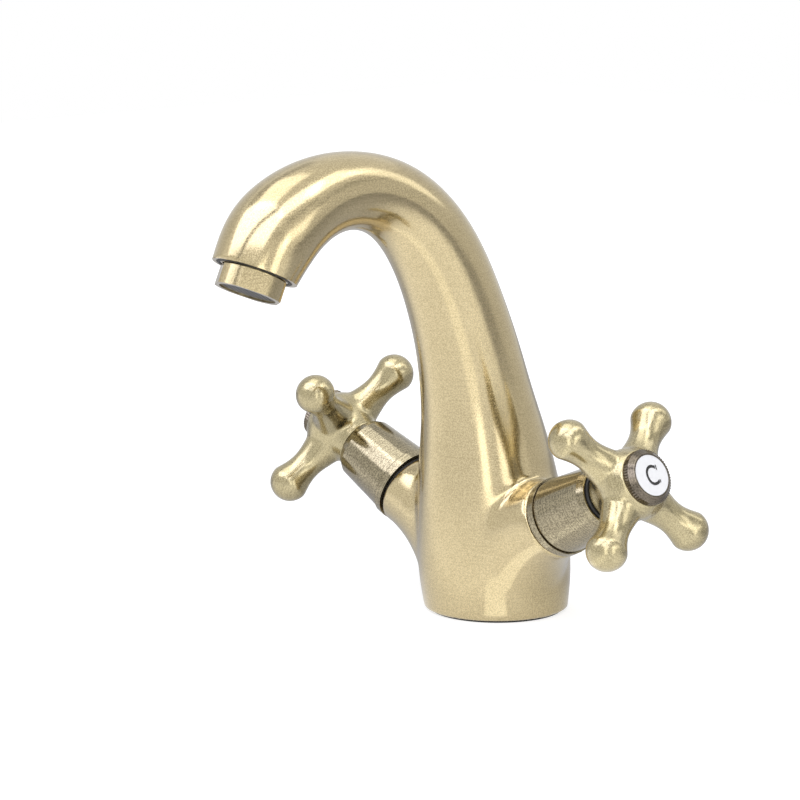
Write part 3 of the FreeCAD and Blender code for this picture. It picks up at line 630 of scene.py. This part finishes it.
@dataclass
class Finishes:
    """Every finish on the tap, by its material slot in the record."""

    made: dict[str, bpy.types.Material] = field(default_factory=dict)

    def build(self) -> None:
        """Makes every material once."""
        finishes = (
            AntiqueBrass(
                "cast_brass", (0.61, 0.505, 0.295), (0.43, 0.35, 0.19), 0.17, Grain.LEVEL, lines=0.15,
                speckle=0.9, relief=0.07, coat=0.5),
            AntiqueBrass(
                "shroud_brass", (0.40, 0.345, 0.225), (0.15, 0.125, 0.075), 0.13, Grain.ROUND_VALVE,
                lines=0.5, speckle=1.0, relief=0.03, fineness=2300.0, coat=0.4),
            AntiqueBrass(
                "handle_brass", (0.52, 0.445, 0.26), (0.33, 0.28, 0.155), 0.24, Grain.ROUND_VALVE,
                lines=0.25, speckle=0.8, relief=0.02, coat=0.5),
            PlainFinish("plain_brass", (0.75, 0.58, 0.30), 0.28, metallic=1.0),
            AntiqueBrass(
                "dark_bronze", (0.23, 0.195, 0.15), (0.07, 0.06, 0.045), 0.18, Grain.ROUND_VALVE,
                lines=0.3, speckle=0.5, relief=0.03),
            PlainFinish("white_enamel", (0.86, 0.86, 0.85), 0.18, mottle=0.02, coat=1.0),
            PlainFinish("black_enamel", (0.008, 0.008, 0.008), 0.2, coat=0.5),
            PlainFinish("valve_ceramic", (0.82, 0.80, 0.76), 0.2, mottle=0.03),
            PlainFinish("black_rubber", (0.018, 0.018, 0.018), 0.55),
            PlainFinish("grey_plastic", (0.30, 0.31, 0.32), 0.45),
            PlainFinish("white_plastic", (0.72, 0.72, 0.70), 0.4),
            PlainFinish("steel_mesh", (0.16, 0.16, 0.17), 0.42, metallic=1.0, mottle=0.3),
            PlainFinish("bright_steel", (0.55, 0.55, 0.56), 0.25, metallic=1.0),
        )
        for finish in finishes:
            self.made[finish.name] = finish.build()

    def dress(self, piece: Piece, slot: str) -> None:
        """Gives a piece one finish all over, and reports it.

        Args:
            piece: the mesh object.
            slot: the finish's name.
        """
        piece.data.materials.clear()
        piece.data.materials.append(self.made[slot])
        LOG.info("%s: %d faces in %s", piece.name, len(piece.data.polygons), slot)

    def dress_nodes(self, frame: dict) -> None:
        for entry in frame["record"]["subparts"]:
            self.dress(frame["nodes"][entry["node"]], entry["material_slot"])


# ---------------- valve axis
@dataclass(frozen=True)
class ValveAxis:
    """Where the cold valve's axis lies; the hot valve's is its mirror image.

    The turns are each handle's own small angle about its axis, in degrees.
    """

    height: float = 21.6
    forward: float = 5.8
    tilt: float = VALVE_TILT
    splay: float = math.radians(2.1)
    cold_turn: float = 1.1
    hot_turn: float = 3.8

    def frame(self, side: Side) -> Matrix:
        """The valve's own frame, in metres: +Z out of the body, +X the letter's upright.

        Args:
            side: cold, or hot for the mirror image.

        Returns:
            The matrix, which mirrors on the hot side.
        """
        outward = Vector((
            math.cos(self.tilt) * math.cos(self.splay),
            -math.sin(self.splay),
            math.sin(self.tilt) * math.cos(self.splay)))
        upright = Vector((-math.sin(self.tilt), 0.0, math.cos(self.tilt)))
        across = outward.cross(upright).normalized()
        upright = across.cross(outward).normalized()
        matrix = Matrix((upright, across, outward)).transposed().to_4x4()
        matrix.translation = Vector((0.0, -self.forward, self.height)) * MM
        return Matrix.Diagonal((side.value, 1.0, 1.0, 1.0)) @ matrix

    def handle_frame(self, side: Side) -> Matrix:
        """The valve's frame, turned as its handle stands at rest."""
        turn = self.cold_turn if side is Side.COLD else self.hot_turn
        return self.frame(side) @ Matrix.Rotation(math.radians(turn), 4, "Z")


# ---------------- casting
@dataclass
class Casting:
    """The cast body: foot, column and swan-neck spout, and the two bosses that sweep into the foot.

    bends are (radius, angle in degrees) and follow each other tangentially. stations are
    (bend, share of that bend, outside radius). The hollows are outlines of (radius, height), in
    the frame of their valve, of the mouth or of the foot.
    """

    axis: ValveAxis
    finishes: Finishes
    bottom: float = 0.8
    foot_radius: float = 26.0
    foot_set_back: float = 1.5
    set_back_share: float = 0.45
    bends: Pairs = ((352.0, 15.2), (156.0, 17.5), (49.3, 88.0), (38.5, 34.8))
    stations: tuple[tuple[int, float, float], ...] = (
        (0, 0.15, 27.5), (0, 0.3, 27.3), (0, 0.45, 26.1), (0, 0.65, 23.4), (0, 0.83, 20.5), (0, 1.0, 18.7),
        (1, 0.5, 17.0), (1, 1.0, 15.8), (2, 0.33, 14.2), (2, 0.6, 13.5), (2, 0.78, 14.1), (2, 1.0, 15.5),
        (3, 0.4, 16.0), (3, 1.0, 14.9))
    mouth_overrun: float = 1.6
    boss_height: float = 41.4
    boss_radii: tuple[float, float, float] = (14.1, 19.8, 25.4)
    boss_foot_height: float = 2.0
    boss_rounding: float = 0.5
    boss_start: float = 0.012
    valve_bore: Pairs = ((5.0, 8.0), (5.0, 18.0), (9.9, 18.0), (9.9, 31.0), (10.48, 31.0), (10.48, 43.0))
    inlet: Pairs = ((4.5, 19.8), (4.5, 9.0))
    inlet_spacing: float = 20.0
    recess: Pairs = ((19.0, 9.8), (19.0, -1.0))
    stud_hole: Pairs = ((3.4, 25.8), (3.4, 9.0))
    stud_set_back: float = 13.0
    groove: Pairs = ((24.05, 2.0), (24.05, -1.0))
    groove_core: Pairs = ((20.55, 3.0), (20.55, -2.0))
    mouth_face: Pairs = ((21.0, 0.0), (21.0, 7.0))
    mouth_socket: Pairs = (
        (9.0, -16.0), (9.0, -10.0), (11.95, -10.0), (11.95, -0.7), (13.4, -0.7), (13.4, 3.0))
    voxel: float = 0.7
    crease: Region = Region(
        "crease", 70, across=Window(9.0, 6.0, 35.0, 6.0), height=Window(8.0, 8.0, 78.0, 14.0))
    neck_rings: int = 150
    boss_rings: int = 44

    def bend_point(self, bend: int, share: float) -> tuple[float, float, float]:
        """Forward reach, height and lean of the neck's line at a share of one bend.

        Args:
            bend: which bend.
            share: how far along it, from 0 to 1.

        Returns:
            Forward reach and height in millimetres, and the lean from upright in radians.
        """
        forward, height, lean = 0.0, 0.0, 0.0
        for index, (radius, degrees) in enumerate(self.bends[:bend + 1]):
            turn = math.radians(degrees) * (share if index == bend else 1.0)
            forward += radius * (math.cos(lean) - math.cos(lean + turn))
            height += radius * (math.sin(lean + turn) - math.sin(lean))
            lean += turn
        return forward, height, lean

    def mouth(self) -> Matrix:
        """The mouth's own frame, in metres.

        Returns:
            The matrix, whose +Z points out of the spout.
        """
        forward, height, lean = self.bend_point(len(self.bends) - 1, 1.0)
        matrix = Matrix.Rotation(lean, 4, "X")
        matrix.translation = Vector((0.0, -forward - self.foot_set_back, height)) * MM
        return matrix

    def neck(self) -> Piece:
        """Sweeps the foot, the column and the spout as one form.

        Returns:
            The closed form, a little longer than the spout.
        """
        reach, rise, radius = [0.0], [self.bottom], [self.foot_radius]
        for bend, share, wide in self.stations:
            forward, height, _ = self.bend_point(bend, share)
            shift = self.foot_set_back
            if bend == 0 and share < self.set_back_share:
                shift -= self.foot_set_back * (1.0 - share / self.set_back_share)
            reach.append(-forward - shift)
            rise.append(height)
            radius.append(wide)
        steps = np.hypot(np.diff(reach), np.diff(rise))
        lengths = np.concatenate(([0.0], np.cumsum(steps)))
        back, up, size = (SmoothLine(lengths, values) for values in (reach, rise, radius))
        rings = []
        for length in np.linspace(0.0, float(lengths[-1]) + self.mouth_overrun, self.neck_rings):
            # the foot's first section lies level on the deck
            lean = math.atan2(-back.slope(length), up.slope(length)) if length > 0.0 else 0.0
            rings.append(Ring((0.0, back.at(length), up.at(length)), size.at(length), about_x=lean))
        return swept("neck", rings, sides=128)

    def boss(self) -> Piece:
        """Sweeps the cold boss from the foot up to its face, through planes that fan out.

        Returns:
            The closed form.
        """
        face = self.axis.frame(Side.COLD) @ Vector((0.0, 0.0, self.boss_height * MM)) / MM
        tilt = self.axis.tilt
        face_height = face.z - self.boss_foot_height
        face_reach = face_height / math.cos(tilt)
        foot_reach = face.x + face_height * math.tan(tilt)
        line = SmoothLine((0.0, 0.5, 1.0), self.boss_radii)
        rings = []
        for share in (*np.linspace(1.0, self.boss_start, self.boss_rings), 0.0):
            angle = tilt + (math.pi / 2.0 - tilt) * share
            span = face_reach + (foot_reach - face_reach) * share
            centre = (
                foot_reach - span * math.sin(angle),
                face.y * (1.0 - share),
                self.boss_foot_height + span * math.cos(angle))
            radius = line.at(share) - (self.boss_rounding if share == 0.0 else 0.0)
            splay = -self.axis.splay * (1.0 - share)
            rings.append(Ring(centre, radius, about_y=math.pi / 2.0 - angle, about_z=splay))
        return swept("boss", rings)

    def hollows(self) -> list[Piece]:
        """Draws what is cut out of the casting.

        Returns:
            The valve bores, the foot's recess, holes and groove, and the mouth's face and socket.
        """
        stud = moved(0.0, self.stud_set_back, 0.0)
        cutters = []
        for side in Side:
            inlet = moved(side.value * self.inlet_spacing / 2.0, -self.axis.forward, 0.0)
            cutters.append(turned("bore", self.valve_bore, frame=self.axis.frame(side)))
            cutters.append(turned("inlet", self.inlet, sides=48, frame=inlet))
        groove = turned("groove", self.groove)
        cut_away(groove, [turned("core", self.groove_core)])
        return cutters + [
            turned("recess", self.recess),
            turned("stud_hole", self.stud_hole, sides=48, frame=stud),
            groove,
            turned("mouth_face", self.mouth_face, frame=self.mouth()),
            turned("socket", self.mouth_socket, frame=self.mouth())]

    def build(self) -> None:
        """Makes the whole casting, dresses it and lets it stand for the CAD body."""
        cold = self.boss()
        hot = copy_of(cold, "hot_boss")
        place(hot, Matrix.Diagonal((-1.0, 1.0, 1.0, 1.0)))
        piece = fuse([self.neck(), cold, hot], "casting", self.voxel, self.crease)
        cut_away(piece, self.hollows())
        shade_by_angle(piece)
        self.finishes.dress(piece, "cast_brass")
        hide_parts("tap_body")
        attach(piece, "tap")


# ---------------- cross handle
@dataclass
class CrossHandle:
    """A hub with four arms that end in bulbs, drawn in the valve's own frame and blended.

    The webs between the arms are smoothed clear of the hub's two ends, then the arms' outer parts.
    """

    axis: ValveAxis
    finishes: Finishes
    hub_outline: Pairs = ((9.3, 70.6), (10.4, 75.0), (12.7, 81.6), (12.7, 85.6), (10.2, 90.3))
    arm_outline: Pairs = ((8.4, 5.2), (6.8, 12.7), (5.6, 20.2), (7.4, 28.1))
    ball_centre: float = 28.1
    ball_radius: float = 7.4
    ball_end: float = math.radians(84.0)
    arm_plane: float = 81.6
    arm_angles: tuple[float, ...] = (45.0, 135.0, 225.0, 315.0)
    bore: Pairs = (
        (7.6, 69.0), (7.6, 73.0), (4.05, 73.0), (4.05, 79.1), (2.05, 79.1), (2.05, 82.3),
        (5.0, 82.3), (5.0, 85.9), (7.95, 85.9), (7.95, 92.0))
    voxel: float = 0.42
    hub_rings: int = 40
    arm_rings: int = 34
    ball_rings: int = 13
    web: Region = Region("web", 60, height=Window(71.5, 2.5, 90.0, 2.0), reach=Window(high=22.0, fall=6.0))
    bulbs: Region = Region("bulbs", 24, reach=Window(low=13.0, rise=4.0))

    def smooth_outline(self, corners: Pairs, count: int) -> list[tuple[float, float]]:
        """A smooth outline through (radius, height) corners.

        Args:
            corners: the points it passes.
            count: how many points it gets.

        Returns:
            The denser outline.
        """
        heights = [height for _, height in corners]
        line = SmoothLine(heights, [radius for radius, _ in corners])
        return [(line.at(height), float(height)) for height in np.linspace(heights[0], heights[-1], count)]

    def arm(self) -> Piece:
        """Draws one arm along +X at the arms' height, with its rounded end.

        Returns:
            The closed arm.
        """
        outline = self.smooth_outline(self.arm_outline, self.arm_rings)
        for angle in np.linspace(0.0, self.ball_end, self.ball_rings + 1)[1:]:
            outline.append((
                self.ball_radius * math.cos(angle), self.ball_centre + self.ball_radius * math.sin(angle)))
        lift = moved(0.0, 0.0, self.arm_plane)
        return turned("arm", outline, sides=64, frame=lift @ Matrix.Rotation(math.pi / 2.0, 4, "Y"))

    def blank(self) -> Piece:
        """Makes the handle about Z, with its arms on the diagonals.

        Returns:
            The bored handle.
        """
        arm = self.arm()
        arms = []
        for angle in self.arm_angles:
            twin = copy_of(arm, "arm_copy")
            place(twin, Matrix.Rotation(math.radians(angle), 4, "Z"))
            arms.append(twin)
        bpy.data.objects.remove(arm)
        hub = turned("hub", self.smooth_outline(self.hub_outline, self.hub_rings))
        piece = fuse([hub, *arms], "handle_blank", self.voxel, self.web, self.bulbs)
        cut_away(piece, [turned("handle_bore", self.bore, sides=64)])
        return piece

    def build(self) -> None:
        """Makes both handles, dresses them and lets them stand for the CAD handles."""
        blank = self.blank()
        for side in Side:
            piece = copy_of(blank, f"{side.word}_cross")
            place(piece, self.axis.handle_frame(side))
            shade_by_angle(piece)
            self.finishes.dress(piece, "handle_brass")
            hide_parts(f"{side.word}_handle")
            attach(piece, f"{side.word}_rotor")
        bpy.data.objects.remove(blank)


# ---------------- index letters
@dataclass
class IndexLetters:
    """The black letter in each index disc, upright and with small serifs.

    A serif is (x, y, width, height), in shares of the letter's half width and half height.
    """

    axis: ValveAxis
    finishes: Finishes
    face: float = 93.9
    depth: float = 0.08
    height: float = 7.2
    capital_share: float = 0.7
    narrowing: float = 0.8
    weight: float = 0.08
    serif_depth_share: float = 0.9
    c_serifs: tuple[tuple[float, ...], ...] = ((0.93, 0.66, 0.12, 0.5), (0.93, -0.7, 0.12, 0.3))
    h_serifs: tuple[tuple[float, ...], ...] = (
        (-0.78, -0.95, 0.62, 0.1), (-0.78, 0.95, 0.62, 0.1),
        (0.78, -0.95, 0.62, 0.1), (0.78, 0.95, 0.62, 0.1))

    def glyph(self, text: str) -> Piece:
        """Draws a letter flat in XY about the origin.

        Args:
            text: the letter.

        Returns:
            Its closed mesh.
        """
        deselect_all()
        bpy.ops.object.text_add(location=(0.0, 0.0, 0.0))
        piece = bpy.context.object
        piece.data.body = text
        piece.data.size = self.height * MM / self.capital_share
        piece.data.extrude = self.depth * MM / 2.0
        piece.data.offset = self.weight * MM / 2.0
        bpy.ops.object.convert(target="MESH")
        piece = bpy.context.object
        corners = np.array([vertex.co for vertex in piece.data.vertices])
        middle = (corners.min(axis=0) + corners.max(axis=0)) / 2.0
        place(piece, Matrix.Diagonal((self.narrowing, 1.0, 1.0, 1.0)) @ Matrix.Translation(-Vector(middle)))
        return piece

    def add_serifs(self, piece: Piece, serifs: Sequence[tuple[float, ...]]) -> Piece:
        """Adds thin bars to a letter.

        Args:
            piece: the flat letter.
            serifs: the bars.

        Returns:
            The letter with its bars.
        """
        half = Vector(piece.dimensions) / 2.0
        bars = []
        for x, y, wide, tall in serifs:
            deselect_all()
            bpy.ops.mesh.primitive_cube_add(size=1.0)
            bar = bpy.context.object
            size = (wide * half.x, tall * half.y, self.depth * MM * self.serif_depth_share, 1.0)
            bar.data.transform(Matrix.Translation((x * half.x, y * half.y, 0.0)) @ Matrix.Diagonal(size))
            bars.append(bar)
        return join([piece, *bars], "letter")

    def build(self) -> None:
        """Makes the two letters, each lying on its disc."""
        # a letter reads across the valve's frame, whose +X is up and whose +Y is the reader's left
        reading = Matrix(((0, 1, 0, 0), (-1, 0, 0, 0), (0, 0, 1, 0), (0, 0, 0, 1)))
        lift = moved(0.0, 0.0, self.face + self.depth / 2.0)
        for side, text, serifs in ((Side.COLD, "C", self.c_serifs), (Side.HOT, "H", self.h_serifs)):
            piece = self.add_serifs(self.glyph(text), serifs)
            piece.name = f"{side.word}_letter"
            mirror = Matrix.Diagonal((1.0, side.value, 1.0, 1.0))
            place(piece, self.axis.handle_frame(side) @ lift @ mirror @ reading)
            self.finishes.dress(piece, "black_enamel")
            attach(piece, f"{side.word}_rotor")


# ---------------- black rings: a washer, and painted shade
@dataclass
class RubberRings:
    """The black rings that show as dark lines.

    One lies in the spout's rim round the aerator: a washer, which also paints the shade of the gap under
    the rim. The others are under the handles' skirts, where they close the way into the shrouds; they are
    painted shade, dark sheets in a gap that is only in shadow.
    """

    casting: Casting
    finishes: Finishes
    # the washer in the spout's rim, black so that it also paints the shade of the gap under the rim
    mouth_outline: Pairs = ((13.25, -0.66), (13.35, -0.5), (13.35, 0.0), (13.1, 0.2))
    mouth_bore: Pairs = ((12.08, -1.0), (12.08, 1.5))
    # the rings under the skirts: black sheets of painted shade in the gap into the shrouds
    dust_outline: Pairs = ((9.4, 67.8), (9.8, 68.2), (9.8, 70.1), (9.4, 70.5))
    dust_bore: Pairs = ((7.7, 66.0), (7.7, 72.0))

    def ring(self, name: str, outline: Pairs, bore: Pairs, sides: int, frame: Matrix) -> Piece:
        """Makes one ring and dresses it.

        Args:
            name: the ring's name.
            outline: the outside, as (radius, height) corners.
            bore: the hole, drawn past both faces.
            sides: how many edges it has round.
            frame: where it lies.

        Returns:
            The ring.
        """
        piece = turned(name, outline, sides)
        cut_away(piece, [turned("bore", bore, sides)])
        place(piece, frame)
        shade_by_angle(piece)
        self.finishes.dress(piece, "black_rubber")
        return piece

    def build(self) -> None:
        """Makes the ring at the mouth and the two under the handles."""
        # a black washer at the mouth, which also paints the shade of the gap under the spout's rim
        seal_and_shade = self.ring("mouth_gasket", self.mouth_outline, self.mouth_bore, 96, self.casting.mouth())
        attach(seal_and_shade, "tap")
        for side in Side:
            frame = self.casting.axis.frame(side)
            # a black ring under each skirt, painted shade where the gap into the shroud lies in shadow
            shade_ring = self.ring(f"{side.word}_dust_ring", self.dust_outline, self.dust_bore, 64, frame)
            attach(shade_ring, f"{side.word}_rotor")


# ---------------- studio
def direction(azimuth: float, elevation: float) -> Vector:
    """The way from the tap to something round it, by angles in radians. Azimuth 0 is the spout's."""
    level = math.cos(elevation)
    return Vector((math.sin(azimuth) * level, -math.cos(azimuth) * level, math.sin(elevation)))


@dataclass(frozen=True)
class Panel:
    """A flat panel of the studio, placed by its direction from the tap and by the angles it covers.

    Azimuth 0 is in front of the spout, and a positive azimuth is towards +X. The lean turns the
    panel in its own plane. A brightness of 1 is the white of the surround.
    """

    name: str
    azimuth: float
    elevation: float
    width: float
    height: float
    brightness: float
    lean: float = 0.0
    distance: float = 1.6

    def stand(self, holder: Piece, aim: Vector) -> None:
        """Puts the panel at its distance, facing the tap.

        Args:
            holder: the lamp or card, whose front is its own -Z.
            aim: the point that it faces, in metres.
        """
        out = direction(math.radians(self.azimuth), math.radians(self.elevation))
        turn = out.to_track_quat("Z", "Y").to_matrix() @ Matrix.Rotation(math.radians(self.lean), 3, "Z")
        holder.location = aim + out * self.distance
        holder.rotation_euler = turn.to_euler()
        holder.visible_camera = False

    def size(self) -> tuple[float, float]:
        """The panel's width and height in metres."""
        angles = (self.width, self.height)
        return tuple(2.0 * self.distance * math.tan(math.radians(angle) / 2.0) for angle in angles)


@dataclass(frozen=True)
class Softbox(Panel):
    """A panel that lights the tap."""

    tint: Colour = WHITE

    def build(self, aim: Vector) -> None:
        """Adds the light.

        Args:
            aim: the point that it faces, in metres.
        """
        wide, tall = self.size()
        lamp = bpy.data.lights.new(self.name, "AREA")
        lamp.shape = "RECTANGLE"
        lamp.size = wide
        lamp.size_y = tall
        lamp.color = self.tint
        lamp.energy = math.pi * wide * tall * self.brightness
        holder = bpy.data.objects.new(self.name, lamp)
        bpy.context.scene.collection.objects.link(holder)
        self.stand(holder, aim)


@dataclass(frozen=True)
class Card(Panel):
    """A panel that shows only in the metal, and may keep the softboxes' light off it too."""

    blocks: bool = False

    def shape(self, piece: Piece) -> None:
        """Gives the card its size, from a plane of size one."""
        piece.data.transform(Matrix.Diagonal((*self.size(), 1.0, 1.0)))

    def build(self, aim: Vector) -> None:
        """Adds the card.

        Args:
            aim: the point that it faces, in metres.
        """
        deselect_all()
        bpy.ops.mesh.primitive_plane_add(size=1.0)
        piece = bpy.context.object
        piece.name = self.name
        self.shape(piece)
        surface = Surface(self.name, {
            "Base Color": (*BLACK, 1.0), "Specular IOR Level": 0.0, "Emission Color": (*WHITE, 1.0),
            "Emission Strength": self.brightness})
        piece.data.materials.append(surface.material)
        self.stand(piece, aim)
        piece.visible_diffuse = False
        piece.visible_shadow = self.blocks


@dataclass(frozen=True)
class FloorCard(Card):
    """A bright wedge that lies on the floor from the tap outwards, as a softbox's sheen there."""

    near: float = 0.05
    above_floor: float = 0.0005

    def shape(self, piece: Piece) -> None:
        """Draws the wedge between its near and far ends.

        Args:
            piece: a plane of size one.
        """
        spread = math.tan(math.radians(self.width) / 2.0)
        for vertex in piece.data.vertices:
            reach = self.near if vertex.co.y > 0.0 else self.distance
            vertex.co = (math.copysign(reach * spread, vertex.co.x), -reach, 0.0)

    def stand(self, holder: Piece, aim: Vector) -> None:
        """Lays the wedge on the floor.

        Args:
            holder: the wedge.
            aim: the point that the other panels face, which the wedge has no use for.
        """
        holder.location = (0.0, 0.0, self.above_floor)
        holder.rotation_euler = (0.0, 0.0, math.radians(self.azimuth))
        holder.visible_camera = False


@dataclass
class Studio:
    """Floor, world, lights and camera.

    floor_fade is (distance in front of the origin, brightness) of the floor as the metal sees it.
    """

    azimuth: float = math.radians(46.74)
    elevation: float = math.radians(10.376)
    distance: float = 1.2316
    aim: tuple[float, float, float] = (0.0, -0.04805, 0.0825)
    lens: float = 158.23
    sensor: float = 36.0
    nearest: float = 0.05
    world_strength: float = 0.46
    floor_size: float = 3.0
    floor_colour: float = 0.4
    floor_seen: float = 0.75
    floor_seen_reach: tuple[float, float] = (0.2, 0.9)
    floor_heading: float = math.radians(20.0)
    floor_fade: Pairs = ((-0.05, 0.12), (0.055, 0.9), (0.25, 0.65))
    panels: tuple[Panel, ...] = (
        Softbox("top", -70.0, 79.0, 36.0, 34.0, 1.4),
        Softbox("front", 6.0, 55.0, 84.0, 42.0, 2.2, tint=(0.97, 0.99, 1.15)),
        Softbox("right_high", 92.0, 61.0, 34.0, 18.0, 2.0, distance=0.45, tint=(0.98, 0.99, 1.1)),
        Softbox("rear_right_high", 130.0, 56.0, 24.0, 18.0, 1.6, distance=0.45),
        Softbox("rear_right", 152.0, 38.0, 12.0, 32.0, 1.1, distance=0.5),
        Softbox("right_middle", 103.0, 19.0, 36.0, 14.0, 1.2, distance=0.5),
        Softbox("right_strip", 84.0, 6.0, 15.0, 30.0, 1.6, distance=0.45),
        Softbox("front_strip", 51.0, 4.0, 13.0, 35.0, 1.7, distance=0.33),
        Card("front_gap", 15.0, 50.0, 6.5, 62.0, 0.3, lean=-42.0, distance=1.3, blocks=True),
        Card("back_left_card", -145.0, 12.0, 40.0, 34.0, 0.8, distance=2.1),
        Card("left_card", -95.0, 18.0, 62.0, 44.0, 0.8, distance=2.0),
        Card("left_arc", -98.0, 54.0, 44.0, 12.0, 0.65, distance=1.8),
        Card("right_arc", 98.0, 41.0, 32.0, 7.0, 0.65, distance=0.44),
        Card("right_arc_front", 66.0, 33.0, 24.0, 7.0, 0.75, lean=-25.0, distance=0.44),
        Card("right_arc_rear", 131.0, 33.0, 24.0, 7.0, 0.6, lean=25.0, distance=0.44),
        Card("rear_card", 165.0, 16.0, 76.0, 40.0, 0.8, distance=2.0),
        FloorCard("front_strip_on_floor", 45.0, 0.0, 21.0, 0.0, 1.6, near=0.03, distance=0.33),
    )

    def camera(self) -> None:
        """Adds the camera at the photograph's viewing angle."""
        aim = Vector(self.aim)
        back = direction(self.azimuth, self.elevation)
        lens = bpy.data.cameras.new("camera")
        lens.lens = self.lens
        lens.sensor_width = self.sensor
        lens.clip_start = self.nearest
        holder = bpy.data.objects.new("camera", lens)
        holder.location = aim + back * self.distance
        holder.rotation_euler = back.to_track_quat("Z", "Y").to_euler()
        bpy.context.scene.collection.objects.link(holder)
        bpy.context.scene.camera = holder

    def world(self) -> None:
        """A white surround that the camera and the metal see, and a dimmer one that lights the tap."""
        world = bpy.data.worlds.new("surround")
        bpy.context.scene.world = world
        world.use_nodes = True
        nodes = NodeTree(world.node_tree)
        shader = nodes.tree.nodes["Background"]
        seen = nodes.rays("Is Camera Ray", "Is Glossy Ray", "Is Transmission Ray")
        nodes.fill(shader, {"Color": (*WHITE, 1.0), "Strength": nodes.span(seen, self.world_strength, 1.0)})

    def floor_in_metal(self, surface: Surface) -> Socket:
        """The floor's brightness as the metal sees it, which fades to both sides of the tap's front.

        Args:
            surface: the floor's material.

        Returns:
            The brightness.
        """
        forward = surface.along(surface.place, direction(self.floor_heading, 0.0))
        start, end = self.floor_fade[0][0], self.floor_fade[-1][0]
        fade = surface.add("ShaderNodeValToRGB", {"Fac": surface.span(forward, 0.0, 1.0, start, end)})
        while len(fade.color_ramp.elements) < len(self.floor_fade):
            fade.color_ramp.elements.new(0.5)
        for element, (reach, level) in zip(fade.color_ramp.elements, self.floor_fade):
            element.position = (reach - start) / (end - start)
            element.color = (level, level, level, 1.0)
        return fade.outputs["Color"]

    def floor(self) -> None:
        """A plain pale floor that keeps the tap's shadow, and looks darker in the metal behind the tap."""
        deselect_all()
        bpy.ops.mesh.primitive_plane_add(size=self.floor_size, location=(0.0, 0.0, 0.0))
        piece = bpy.context.object
        piece.name = "floor"
        surface = Surface("floor_white", {
            "Base Color": (self.floor_colour,) * 3 + (1.0,), "Roughness": 0.9, "Specular IOR Level": 0.0,
            "Emission Color": (*WHITE, 1.0)})
        away = surface.add("ShaderNodeVectorMath", {0: surface.place}, operation="LENGTH")
        level = surface.span(away.outputs["Value"], self.floor_seen, 1.0, *self.floor_seen_reach)
        seen = surface.fold("MULTIPLY", surface.rays("Is Camera Ray"), level)
        mirrored = surface.fold(
            "MULTIPLY", self.floor_in_metal(surface), surface.rays("Is Glossy Ray", "Is Transmission Ray"))
        surface.fill(surface.shader, {"Emission Strength": surface.fold("ADD", mirrored, seen)})
        piece.data.materials.append(surface.material)

    def build(self) -> None:
        """Sets the whole studio up."""
        bpy.context.scene.view_settings.view_transform = "Standard"
        self.world()
        self.floor()
        for panel in self.panels:
            panel.build(Vector(self.aim))
        self.camera()


# ---------------- main
def main() -> None:
    """Loads the frame and builds the looks in order."""
    logging.basicConfig(level=logging.INFO, format="%(name)s: %(message)s")
    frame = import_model()
    finishes = Finishes()
    finishes.build()
    finishes.dress_nodes(frame)
    axis = ValveAxis()
    casting = Casting(axis, finishes)
    steps: tuple[tuple[str, Callable[[], None]], ...] = (
        ("casting", casting.build),
        ("cross handles", CrossHandle(axis, finishes).build),
        ("index letters", IndexLetters(axis, finishes).build),
        ("seal and shade rings", RubberRings(casting, finishes).build),
        ("studio", Studio().build),
    )
    for name, build in steps:
        build()
        LOG.info("built %s", name)
    deselect_all()


if __name__ == "__main__":
    main()
